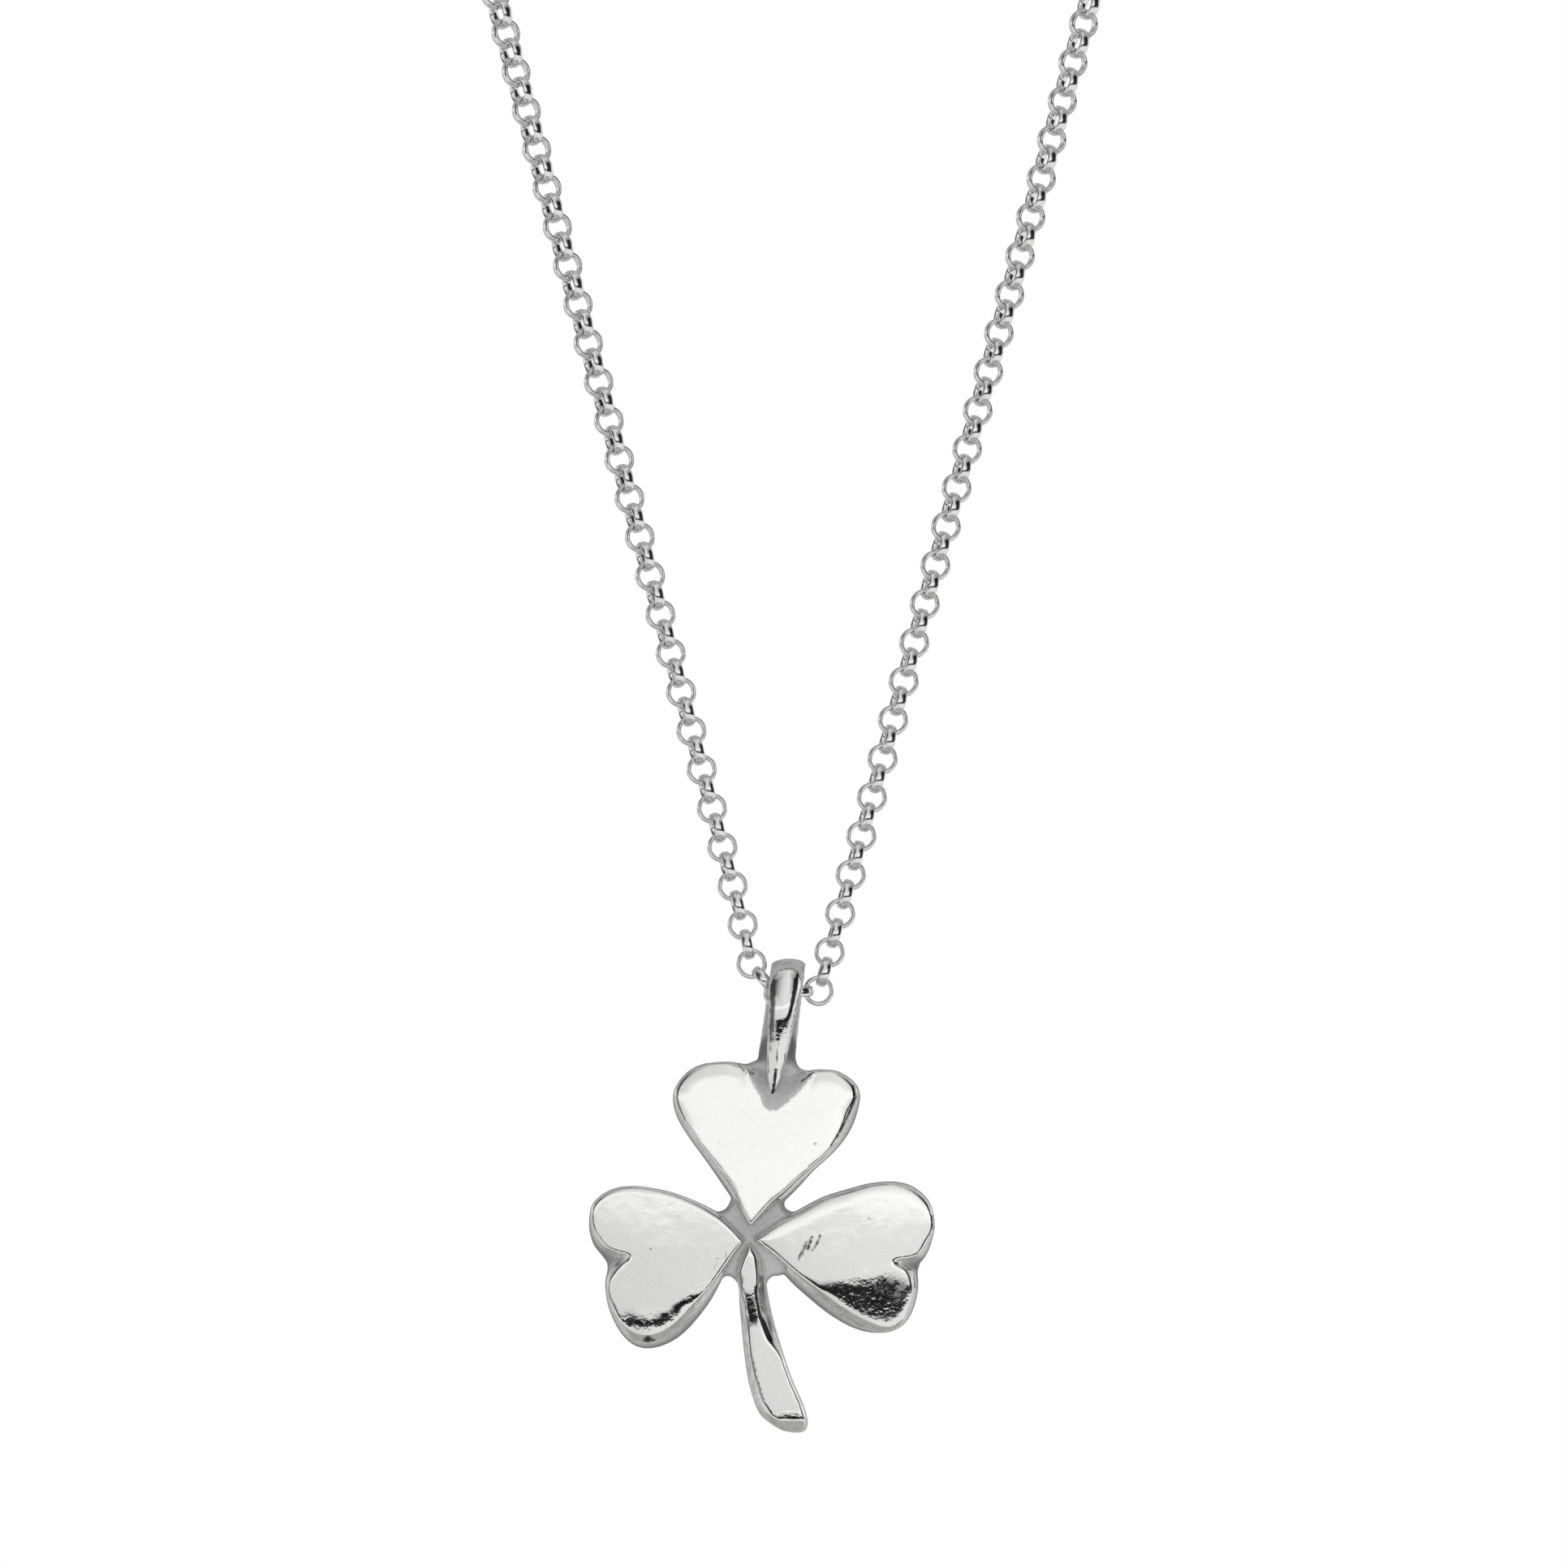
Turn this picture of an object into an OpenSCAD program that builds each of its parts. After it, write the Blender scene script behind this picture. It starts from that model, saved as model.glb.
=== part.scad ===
// Cast silver shamrock pendant on a belcher chain, hanging as it is worn.
// Millimetres. X runs to the right as seen from the front, Y runs back to the neck and Z is up.
// The origin is the middle of the clasp at the nape. Pendant sizes are measured from the hang point,
// the place in the bail where the chain carries it.

/* [Shamrock] */
// Depth of the flat back behind the hang point
back_depth = 1.05; // [0.95:0.05:1.15]
// Height of the leaves' crowns in front of the hang point
crown_depth = 1.1; // [1:0.05:1.2]
// Level of the rough web between the leaves, in front of the hang point
web_depth = 0.1; // [0:0.05:0.3]
// How far the middle of a leaf stands above its crown edge
dome = 0.1; // [0.05:0.01:0.2]
// Reach of the sloping flank outside a crown edge
flank = 0.45; // [0.35:0.05:0.5]
// Rounding of the edges at the back
back_round = 0.35; // [0.2:0.05:0.4]

/* [Bail] */
// Clear radius over the chain at the top of the bail
bail_r = 1.22; // [1.2:0.02:1.3]
// Thickness of the bail at the top
bail_t = 0.86; // [0.8:0.02:0.92]
// Width of the bail at the top
bail_w = 2.2; // [2:0.05:2.3]
// Lean of the bail from upright, to the right
bail_lean = 7.2; // [6:0.2:8]

/* [Chain link] */
// Outer diameter of a link
link_d = 1.9; // [1.88:0.01:1.94]
// Thickness of a link's band, from inside to outside
link_t = 0.25; // [0.23:0.01:0.25]
// Width of a link's band
link_w = 0.6; // [0.5:0.02:0.62]
// Distance from link to link
link_pitch = 1.235; // [1.2:0.005:1.24]

/* [Necklace] */
// Lean of the left strand from upright
left_lean = 14.9; // [14:0.1:16]
// Lean of the right strand from upright
right_lean = 15.3; // [14:0.1:16]
// Height of the straight strands above the hang point
strand_h = 62; // [55:1:70]
// Width of the loop at the sides of the neck
neck_w = 100; // [90:1:110]
// Depth of the loop from the hang point to the nape
neck_d = 100; // [90:1:110]
// Height of the nape above the hang point
nape_h = 130; // [125:1:140]
// Height of the nape above the sides of the neck
side_drop = 20; // [15:1:25]
// Links on each side of the bail that are modelled one by one
single_links = 120; // [40:1:120]

/* [Clasp] */
// Outer diameter of the bolt ring
clasp_d = 5.5; // [5:0.1:6]
// Thickness of the bolt ring's tube
clasp_wire = 1; // [0.9:0.05:1.1]
// Outer diameter of the clasp's eye
eye_d = 2.4; // [2.4:0.1:2.8]
// Thickness of the eye's wire
eye_wire = 0.5; // [0.4:0.05:0.5]

/* [Hidden] */
silver = [0.8, 0.8, 0.82];
hang_point = [0, -neck_d, -nape_h];
tiny = 0.0001;

// One row for each leaf: x and z of its middle, the slopes of its face to the right and upwards, and
// how steeply its lower lobe falls back
//   x,     z,      slope_x, slope_z, fall
LEAF_PLACES = [
    [-1.15, -8.65, 0.000, -0.045, 0.000],
    [-7.65, -16.40, 0.020, -0.015, 0.040],
    [4.60, -16.40, -0.020, -0.015, 0.075]
];
// Where the lower lobe starts to fall back, below a leaf's middle
lobe_start = 0.9;

// The outline of each leaf, round its middle: the bearing in degrees from the right, the reach of the
// crown edge and of the rim outside it, and 1 where the outline has a corner
//   bearing, crown, rim, corner
TOP_LEAF = [
    [260, 5.85, 5.85, 1],
    [273, 4.30, 4.90, 0],
    [287, 3.75, 4.30, 0],
    [303, 3.42, 3.88, 0],
    [322, 3.45, 3.77, 0],
    [342, 3.92, 4.28, 0],
    [358, 4.40, 5.00, 0],
    [372, 5.00, 5.70, 0],
    [385, 6.00, 6.28, 0],
    [400, 5.60, 5.80, 0],
    [412, 4.65, 4.90, 1],
    [417, 2.60, 4.50, 0],
    [442, 1.50, 4.20, 0],
    [459, 2.40, 4.20, 0],
    [468, 4.00, 4.40, 1],
    [480, 4.80, 5.00, 0],
    [498, 5.80, 6.00, 0],
    [515, 6.05, 6.30, 0],
    [527, 5.40, 5.85, 0],
    [540, 4.55, 5.05, 0],
    [567, 3.65, 4.15, 0],
    [595, 3.80, 4.40, 0],
    [612, 4.95, 5.20, 0]
];
LEFT_LEAF = [
    [12,  5.22, 5.25, 1],
    [32,  4.40, 4.65, 0],
    [58,  3.95, 4.08, 0],
    [90,  4.05, 4.20, 0],
    [120, 4.90, 5.05, 0],
    [140, 5.22, 5.42, 0],
    [155, 4.50, 4.95, 0],
    [169, 3.40, 4.30, 0],
    [177, 1.95, 3.75, 1],
    [188, 2.55, 3.35, 0],
    [205, 3.55, 3.85, 0],
    [225, 4.20, 4.57, 0],
    [243, 4.80, 5.35, 0],
    [256, 5.00, 5.72, 0],
    [270, 4.65, 5.47, 0],
    [286, 4.00, 4.88, 0],
    [312, 3.42, 4.12, 0],
    [334, 3.50, 3.95, 0],
    [362, 4.35, 4.45, 0]
];
RIGHT_LEAF = [
    [170, 6.65, 6.70, 1],
    [178, 5.20, 5.40, 0],
    [194, 4.00, 4.75, 0],
    [218, 3.25, 4.05, 0],
    [245, 3.25, 4.03, 0],
    [270, 3.85, 4.50, 0],
    [290, 4.68, 4.92, 0],
    [304, 4.65, 4.92, 0],
    [318, 4.10, 4.50, 0],
    [333, 3.60, 4.03, 0],
    [347, 2.90, 3.65, 0],
    [355, 2.05, 3.72, 1],
    [362, 3.40, 4.08, 0],
    [372, 4.05, 4.50, 0],
    [384, 4.85, 5.05, 0],
    [400, 5.30, 5.50, 0],
    [418, 5.15, 5.38, 0],
    [438, 4.55, 4.75, 0],
    [460, 4.10, 4.30, 0],
    [482, 4.20, 4.40, 0],
    [503, 4.65, 4.85, 0],
    [518, 5.55, 5.75, 0]
];
LEAVES = [TOP_LEAF, LEFT_LEAF, RIGHT_LEAF];
leaf_steps = 3;
leaf_reach = 5;

// Sections down the stem: height, left rim, left and right crown edges, right rim, height of the crown
//   z,     left, crown_l, crown_r, right, crown
STEM = [
    [-15.50, -2.35, -2.26, -2.20, -2.12, 1.05],
    [-16.25, -2.75, -2.60, -1.75, -1.55, 1.05],
    [-17.15, -3.05, -2.92, -1.65, -1.30, 1.02],
    [-18.35, -2.88, -2.80, -1.65, -1.12, 0.97],
    [-19.25, -2.85, -2.58, -1.60, -0.97, 0.89],
    [-20.60, -2.73, -2.45, -1.12, -0.65, 0.80],
    [-22.35, -2.55, -2.28, -0.35, -0.12, 0.81],
    [-23.95, -2.32, -1.95, 0.20, 0.43, 0.82],
    [-25.35, -1.92, -1.52, 0.85, 1.05, 0.82],
    [-26.10, -1.55, -1.05, 1.12, 1.30, 0.79],
    [-26.65, -0.90, -0.35, 1.15, 1.37, 0.62],
    [-27.05, -0.20, 0.15, 1.00, 1.22, 0.22],
    [-27.17, 0.35, 0.50, 0.85, 0.95, -0.20]
];

// Sections along the bail's loop, from its root at the back, over the top and down the front to the
// keel in the top leaf: depth, height, half width, half thickness and how square the section is
//   y,     z,     half_w, half_t, square
BAIL_BACK = [
    [0.48, -5.70, 0.80, 0.50, 2.2],
    [0.46, -5.10, 1.05, 0.50, 2.4],
    [0.52, -4.40, 1.17, 0.50, 2.4],
    [0.92, -3.40, 1.17, 0.45, 2.4],
    [1.45, -2.20, 1.14, 0.43, 2.4],
    [1.72, -0.90, 1.12, 0.43, 2.4]
];
BAIL_FRONT = [
    [-1.85, -0.90, 0.92, 0.44, 2.2],
    [-1.85, -2.30, 0.80, 0.44, 2.0],
    [-1.64, -3.60, 0.70, 0.46, 1.6],
    [-1.15, -4.85, 0.52, 0.50, 1.4],
    [-0.58, -5.85, 0.34, 0.52, 1.4],
    [-0.02, -6.60, 0.16, 0.42, 1.6]
];
bail_sides = 16;
bail_steps = 2;

// Fillets where the bail grows out of the top leaf, as the middles of beads in a row
ROOT_LEFT = [
    [-1.15, 1.05, -3.30],
    [-1.20, 0.80, -3.95],
    [-1.42, 0.65, -4.50],
    [-1.85, 0.60, -4.85],
    [-2.50, 0.60, -5.00]
];
ROOT_RIGHT = [
    [0.22, 1.05, -3.30],
    [0.22, 0.80, -4.10],
    [0.36, 0.65, -4.80],
    [0.75, 0.60, -5.20],
    [1.40, 0.60, -5.35]
];
root_bead = 0.42;

// The web's outline, anticlockwise from inside the top leaf. It shows in the four rounded corners
// between the leaves and the stem, and ends inside them elsewhere.
//   x, z
WEB = [
    [-2.80, -12.30], [-3.42, -12.85], [-3.52, -13.15], [-3.72, -13.42], [-4.12, -13.56],
    [-4.90, -14.30], [-4.40, -17.30], [-3.88, -17.62], [-3.60, -17.50], [-3.30, -17.60], [-2.97, -17.95],
    [-2.40, -18.00], [-1.50, -18.00], [-1.12, -17.90], [-0.98, -17.66], [-0.70, -17.52], [-0.35, -17.55],
    [0.30, -17.00], [1.00, -14.20], [0.33, -13.56], [0.02, -13.40], [-0.10, -13.15], [-0.08, -12.90],
    [-0.70, -12.40]
];
// The floor of the top leaf's notch, where the bail grows out of it
//   x, z
NOTCH_FLOOR = [
    [-3.00, -5.20], [-2.30, -6.30], [-0.90, -7.30], [0.60, -6.60], [1.80, -5.20], [1.25, -4.84],
    [0.92, -4.76], [0.72, -4.50], [0.50, -4.25], [-0.50, -4.20], [-1.50, -4.22], [-1.95, -4.28],
    [-2.25, -4.42], [-2.62, -4.52]
];
// Steps of the web's edge: inset from the outline, from the flat back and from the web's level
//   outline, back, level
WEB_STEPS = [
    [0.00, 0.38, 0.32],
    [0.10, 0.20, 0.15],
    [0.24, 0.05, 0.00]
];
// How far the leaves' flanks reach below the web's level
flank_foot = 0.05;

// Places near the bail that the chain passes, from the link in the bail outwards, as x and z
LEFT_BEND = [[0.8, 0], [-0.43, -0.1], [-1.32, 0.76], [-2.11, 1.74], [-2.70, 4.4]];
RIGHT_BEND = [[0.8, 0], [2.03, 0.05], [2.38, 1.22]];
// How far the links are turned about the chain, at a distance from the bail
//   distance, left, right
TURNS = [
    [0, 0, 0],
    [3, 0, 0],
    [9, 12, 3],
    [62, 51, 8]
];
quarter = 0.5523;
bend_steps = 24;
tube_sides = 8;
tube_rings = 20;

function unit(v) = v / max(norm(v), tiny);
function polar(bearing, reach) = reach * [cos(bearing), sin(bearing)];

// A point between b and c on a smooth curve through a, b, c and d, straight out of a corner
function between(a, b, c, d, b_corner, c_corner, t) =
    let (
        span = norm(c - b),
        out = span * unit(b_corner == 1 ? c - b : c - a),
        into = span * unit(c_corner == 1 ? c - b : d - b)
    )
    (2 * t * t * t - 3 * t * t + 1) * b + (t * t * t - 2 * t * t + t) * out
    + (3 * t * t - 2 * t * t * t) * c + (t * t * t - t * t) * into;

// A closed smooth outline through a leaf's rows, by the column of its reach
function outline(leaf, column) =
    let (
        n = len(leaf),
        p = [for (row = leaf) polar(row[0], row[column])]
    )
    [
        for (i = [0:n - 1])
            for (k = [0:leaf_steps - 1])
                let (next = (i + 1) % n)
                between(
                    p[(i + n - 1) % n], p[i], p[next], p[(i + 2) % n],
                    leaf[i][3], leaf[next][3], k / leaf_steps
                )
    ];

// Rows of a table with smooth rows added between them
function refine(rows, steps) =
    let (last = len(rows) - 1)
    [
        for (i = [0:last - 1])
            for (k = [0:steps - 1])
                between(
                    rows[max(i - 1, 0)], rows[i], rows[i + 1], rows[min(i + 2, last)],
                    0, 0, k / steps
                ),
        rows[last]
    ];

// A closed skin over rings of points. The rings run from the first end to the second, and each goes
// anticlockwise as seen from the second end.
module skin(rings, first_end, second_end) {
    n = len(rings[0]);
    last = len(rings) - 1;
    points = concat([for (ring = rings) for (p = ring) p], [first_end, second_end]);
    walls = [
        for (r = [0:last - 1])
            for (j = [0:n - 1])
                let (
                    a = r * n + j,
                    b = r * n + (j + 1) % n
                )
                each [[a, a + n, b + n], [a, b + n, b]]
    ];
    first_cap = [for (j = [0:n - 1]) [(last + 1) * n, j, (j + 1) % n]];
    second_cap = [for (j = [0:n - 1]) [(last + 1) * n + 1, last * n + (j + 1) % n, last * n + j]];
    polyhedron(points = points, faces = concat(walls, first_cap, second_cap));
}

// Height of a leaf's face at a point measured from the leaf's middle
function face_height(place, p) =
    crown_depth + place[2] * p[0] + place[3] * p[1]
    - dome * (p * p) / (leaf_reach * leaf_reach)
    - place[4] * max(0, -p[1] - lobe_start);

function shrink(p, by) = p * max(0, 1 - by / max(norm(p), tiny));

module leaf(rows, place) {
    crown = outline(rows, 1);
    rim = outline(rows, 2);
    shares = [0.82, 0.6, 0.32];
    bevel = 0.12;
    function at(p, height) = [place[0] + p[0], -height, place[1] + p[1]];
    function foot(i) =
        let (gap = rim[i] - crown[i])
        crown[i] + gap * min(0.65, flank / max(norm(gap), tiny));
    all = [for (i = [0:len(crown) - 1]) i];
    skin(
        concat(
            [
                [for (i = all) at(shrink(rim[i], back_round), -back_depth)],
                [for (i = all) at(shrink(rim[i], back_round * 0.3), -back_depth + back_round * 0.3)],
                [for (i = all) at(rim[i], -back_depth + back_round)],
                [for (i = all) at(rim[i], web_depth - flank)],
                [for (i = all) at(foot(i), web_depth - flank_foot)],
                [for (i = all) at(crown[i], face_height(place, crown[i]) - bevel)],
                [for (i = all) at(shrink(crown[i], bevel), face_height(place, crown[i]))]
            ],
            [
                for (share = shares)
                    [for (i = all) at(crown[i] * share, face_height(place, crown[i] * share))]
            ]
        ),
        at([0, 0], -back_depth),
        at([0, 0], face_height(place, [0, 0]))
    );
}

// One level ring of the stem, anticlockwise from above
function stem_ring(row) =
    let (
        z = row[0],
        left = row[1],
        crown_l = row[2],
        crown_r = row[3],
        right = row[4],
        crown = row[5],
        r = min(back_round, (right - left) / 4),
        bevel = min(0.12, (crown_r - crown_l) / 4),
        low = min(web_depth - flank_foot, crown - 0.05),
        back = back_depth - 0.02
    )
    [
        [right, -low, z],
        [right, back - r, z],
        [right - r, back, z],
        [left + r, back, z],
        [left, back - r, z],
        [left, -low, z],
        [crown_l, bevel - crown, z],
        [crown_l + bevel, -crown, z],
        [(crown_l + crown_r) / 2, -crown - bevel / 2, z],
        [crown_r - bevel, -crown, z],
        [crown_r, bevel - crown, z]
    ];

module stem() {
    rows = refine(STEM, 2);
    last = len(rows) - 1;
    skin(
        [for (i = [0:last]) stem_ring(rows[last - i])],
        [(rows[last][2] + rows[last][3]) / 2, 0.1, rows[last][0] - 0.02],
        [(rows[0][2] + rows[0][3]) / 2, 0, rows[0][0]]
    );
}

// The bail's loop: up the back, round the top about the hang point and down the front
function bail_rows() =
    let (
        r = bail_r + bail_t / 2,
        top = [for (a = [20, 60, 100, 140, 170]) [r * cos(a), r * sin(a), bail_w / 2, bail_t / 2, 2]]
    )
    concat(BAIL_BACK, top, BAIL_FRONT);

function bail_x(z) = z * tan(bail_lean) - 0.04;

function bail_ring(row, along) =
    let (
        out = [-along[1], along[0]],
        power = 2 / row[4]
    )
    [
        for (k = [0:bail_sides - 1])
            let (
                a = 360 * k / bail_sides,
                across = row[2] * sign(cos(a)) * pow(abs(cos(a)), power),
                rise = -row[3] * sign(sin(a)) * pow(abs(sin(a)), power),
                z = row[1] + rise * out[1]
            )
            [bail_x(z) + across, row[0] + rise * out[0], z]
    ];

module bail() {
    rows = refine(bail_rows(), bail_steps);
    last = len(rows) - 1;
    skin(
        [
            for (i = [0:last])
                let (
                    from = rows[max(i - 1, 0)],
                    to = rows[min(i + 1, last)]
                )
                bail_ring(rows[i], unit([to[0] - from[0], to[1] - from[1]]))
        ],
        [bail_x(rows[0][1]), rows[0][0], rows[0][1]],
        [bail_x(rows[last][1]), rows[last][0], rows[last][1]]
    );
}

// The fillets left and right of the bail's root
module bail_roots() {
    for (beads = [ROOT_LEFT, ROOT_RIGHT])
        for (k = [0:len(beads) - 2])
            hull()
                for (p = [beads[k], beads[k + 1]])
                    translate(p)
                        sphere(root_bead, $fn = 12);
}

// The web fills the corners between the leaves and the stem, and the top leaf's notch
module web() {
    for (edge = [WEB, NOTCH_FLOOR])
        for (step = WEB_STEPS)
            translate([0, back_depth - step[1], 0])
                rotate([90, 0, 0])
                    linear_extrude(height = back_depth - step[1] + web_depth - step[2])
                        offset(delta = -step[0])
                            polygon(edge);
}

module pendant() {
    color(silver)
        translate(hang_point)
            union() {
                for (i = [0:2])
                    leaf(LEAVES[i], LEAF_PLACES[i]);
                stem();
                web();
                bail();
                bail_roots();
            }
}

// A smooth bend between two points, with a handle at each end
function bend(p, p_handle, q, q_handle) =
    [
        for (k = [1:bend_steps])
            let (
                t = k / bend_steps,
                s = 1 - t
            )
            s * s * s * p + 3 * s * s * t * (p + p_handle) + 3 * s * t * t * (q + q_handle) + t * t * t * q
    ];

// The line of the chain from the bail to the nape, on one side: -1 left, 1 right
function route(side) =
    let (
        near = side < 0 ? LEFT_BEND : RIGHT_BEND,
        lean = side < 0 ? left_lean : right_lean,
        start = [for (p = near) hang_point + [p[0], 0, p[1]]],
        foot = start[len(start) - 1],
        up = [side * sin(lean), 0, cos(lean)],
        top = foot + up * (hang_point[2] + strand_h - foot[2]) / cos(lean),
        beside = [side * neck_w / 2, -neck_d / 2, -side_drop],
        back = unit([0, neck_d / 2, side_drop * 0.8]),
        nape = [0, 0, 0]
    )
    concat(
        start,
        [top],
        bend(top, 28 * up, beside, -28 * back),
        bend(beside, quarter * neck_d / 2 * back, nape, [side * quarter * neck_w / 2, 0, 0])
    );

function run_lengths(line) =
    let (last = len(line) - 1)
    [
        for (i = 0, run = 0; i <= last; run = run + norm(line[min(i + 1, last)] - line[i]), i = i + 1)
            run
    ];

// Tables of x, y and z against the distance from the link in the bail
function route_tables(side) =
    let (
        line = route(side),
        run = run_lengths(line)
    )
    [for (axis = [0:2]) [for (i = [0:len(line) - 1]) [run[i], line[i][axis]]]];

LEFT_ROUTE = route_tables(-1);
RIGHT_ROUTE = route_tables(1);
left_length = LEFT_ROUTE[0][len(LEFT_ROUTE[0]) - 1][0];
right_length = RIGHT_ROUTE[0][len(RIGHT_ROUTE[0]) - 1][0];

// The point at a distance along the chain: negative on the left strand, positive on the right
function chain_point(s) =
    let (tables = s < 0 ? LEFT_ROUTE : RIGHT_ROUTE)
    [for (axis = [0:2]) lookup(abs(s), tables[axis])];

// Direction of the chain towards the nape
function chain_up(s) =
    (s < 0 ? -1 : 1) * unit(chain_point(s + link_pitch / 2) - chain_point(s - link_pitch / 2));

function chain_turn(s) =
    let (column = s < 0 ? 1 : 2)
    lookup(abs(s), [for (row = TURNS) [row[0], row[column]]]);

// Two directions across the chain: the first points to the middle of the neck before its turn
function chain_across(s) =
    let (
        p = chain_point(s),
        up = chain_up(s),
        inward = unit([0, -neck_d / 2, p[2]] - p),
        a = unit(inward - (inward * up) * up),
        b = cross(up, a),
        turn = chain_turn(s)
    )
    [cos(turn) * a + sin(turn) * b, cos(turn) * b - sin(turn) * a];

// A ring whose band is nearly flat inside and rounded outside
module link() {
    inner = link_d / 2 - link_t;
    outer = link_d / 2;
    half = link_w / 2;
    rotate_extrude($fn = 24)
        polygon([
            [inner, -half * 0.4],
            [inner + link_t * 0.4, -half],
            [outer, -half * 0.45],
            [outer, half * 0.45],
            [inner + link_t * 0.4, half],
            [inner, half * 0.4]
        ]);
}

// Puts a shape that turns about Z at a place, with its axis along the given direction
module place_at(p, axis, side_way) {
    third = cross(axis, side_way);
    multmatrix([
        [side_way[0], third[0], axis[0], p[0]],
        [side_way[1], third[1], axis[1], p[1]],
        [side_way[2], third[2], axis[2], p[2]],
        [0, 0, 0, 1]
    ])
        children();
}

module chain_links(first, last) {
    color(silver)
        for (i = [first:last]) {
            s = i * link_pitch;
            across = chain_across(s);
            axis = i % 2 == 0 ? across[1] : across[0];
            place_at(chain_point(s), axis, chain_up(s))
                link();
        }
}

module chain_left() {
    chain_links(-single_links, -1);
}

// The right half has the link in the bail too
module chain_right() {
    chain_links(0, single_links);
}

// A plain tube round the neck on one side, from the last single link to the clasp
module nape_tube(side, stop) {
    start = single_links * link_pitch + link_d / 2 + 0.15;
    rings = [
        for (k = [0:tube_rings - 1])
            let (
                s = side * (start + (stop - start) * k / (tube_rings - 1)),
                p = chain_point(s),
                across = chain_across(s)
            )
            [
                for (j = [0:tube_sides - 1])
                    let (a = 360 * j / tube_sides)
                    p + link_d / 2 * (cos(a) * across[0] + sin(a) * across[1])
            ]
    ];
    skin(rings, chain_point(side * start), chain_point(side * stop));
}

module chain_nape() {
    color(silver) {
        nape_tube(-1, left_length - clasp_d / 2 - eye_d + eye_wire * 0.4 - 0.15);
        nape_tube(1, right_length - clasp_d / 2 - 0.15);
    }
}

module clasp() {
    ring_r = (clasp_d - clasp_wire) / 2;
    eye_r = (eye_d - eye_wire) / 2;
    color(silver)
        rotate([90, 0, 0]) {
            rotate_extrude($fn = 48)
                translate([ring_r, 0])
                    circle(clasp_wire / 2, $fn = 24);
            translate([-clasp_d / 2 - eye_r + eye_wire * 0.4, 0, 0])
                rotate_extrude($fn = 32)
                    translate([eye_r, 0])
                        circle(eye_wire / 2, $fn = 16);
            rotate([0, 0, 60])
                translate([ring_r, 0, 0])
                    rotate([0, 90, 0])
                        cylinder(r = 0.3, h = 1.1, $fn = 24);
        }
}

pendant();
chain_left();
chain_right();
chain_nape();
clasp();
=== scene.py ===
# Looks of a cast silver shamrock pendant on a belcher chain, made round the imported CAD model.
# Metres: X to the right as seen from the front, Y back to the nape, Z up. The pendant's tables are in
# millimetres from the hang point, the place in the bail where the chain carries it.

import math

import bmesh
import bpy
import numpy as np
from mathutils import Matrix, Vector, noise


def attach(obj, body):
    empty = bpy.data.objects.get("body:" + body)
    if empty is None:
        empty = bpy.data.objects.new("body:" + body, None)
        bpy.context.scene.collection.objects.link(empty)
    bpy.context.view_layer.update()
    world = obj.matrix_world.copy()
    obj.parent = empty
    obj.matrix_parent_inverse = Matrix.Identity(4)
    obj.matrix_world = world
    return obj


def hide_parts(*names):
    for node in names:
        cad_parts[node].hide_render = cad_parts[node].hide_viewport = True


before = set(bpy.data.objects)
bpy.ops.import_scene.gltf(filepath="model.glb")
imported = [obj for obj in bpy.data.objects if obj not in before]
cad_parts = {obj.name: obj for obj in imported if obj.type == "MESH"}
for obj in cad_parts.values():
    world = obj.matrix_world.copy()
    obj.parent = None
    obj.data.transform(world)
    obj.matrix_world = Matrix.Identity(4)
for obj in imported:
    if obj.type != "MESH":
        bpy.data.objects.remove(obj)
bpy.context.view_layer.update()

bl_info = {
    "name": "Shamrock pendant necklace",
    "version": (1, 0, 0),
    "blender": (4, 5, 0),
    "location": "View3D > Sidebar > Shamrock",
    "description": "A cast silver shamrock on a belcher chain with a bolt ring",
    "category": "Object",
}

MM = 0.001
NECK_DEPTH = 100.0
NAPE_HEIGHT = 130.0
HANG = np.array([0.0, -NECK_DEPTH, -NAPE_HEIGHT])

# The leaves' faces. Fall is the slope of the lower lobe in the CAD model, and sag its slope as cast,
# from a distance below the middle and over a width. Tilt is added to its slope upwards. Roll is how
# the lower lobe turns down near its crown edge, below the two distances. Soft is how its upper lobes
# turn down.
LEAVES = [
    {"name": "top", "x": -1.15, "z": -8.65, "slope_x": 0.0, "slope_z": -0.045, "tilt": -0.018,
     "fall": 0.0, "dome": 0.02, "sag": 0.0, "sag_from": 9.0, "sag_width": 1.0, "roll": 0.0,
     "roll_width": 1.0, "roll_from": 0.4, "roll_full": 2.2, "soft": 0.15},
    {"name": "left", "x": -7.65, "z": -16.40, "slope_x": 0.020, "slope_z": -0.015, "tilt": 0.0,
     "fall": 0.040, "dome": 0.08, "sag": 0.0, "sag_from": 9.0, "sag_width": 1.0, "roll": 0.10,
     "roll_width": 1.3, "roll_from": 2.0, "roll_full": 3.6, "soft": 0.0},
    {"name": "right", "x": 4.60, "z": -16.40, "slope_x": -0.020, "slope_z": -0.015, "tilt": 0.0,
     "fall": 0.075, "dome": 0.10, "sag": 0.105, "sag_from": 0.6, "sag_width": 1.6, "roll": 0.5,
     "roll_width": 0.45, "roll_from": 0.4, "roll_full": 1.6, "soft": 0.08},
]
LOBE_START = 0.9
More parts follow.
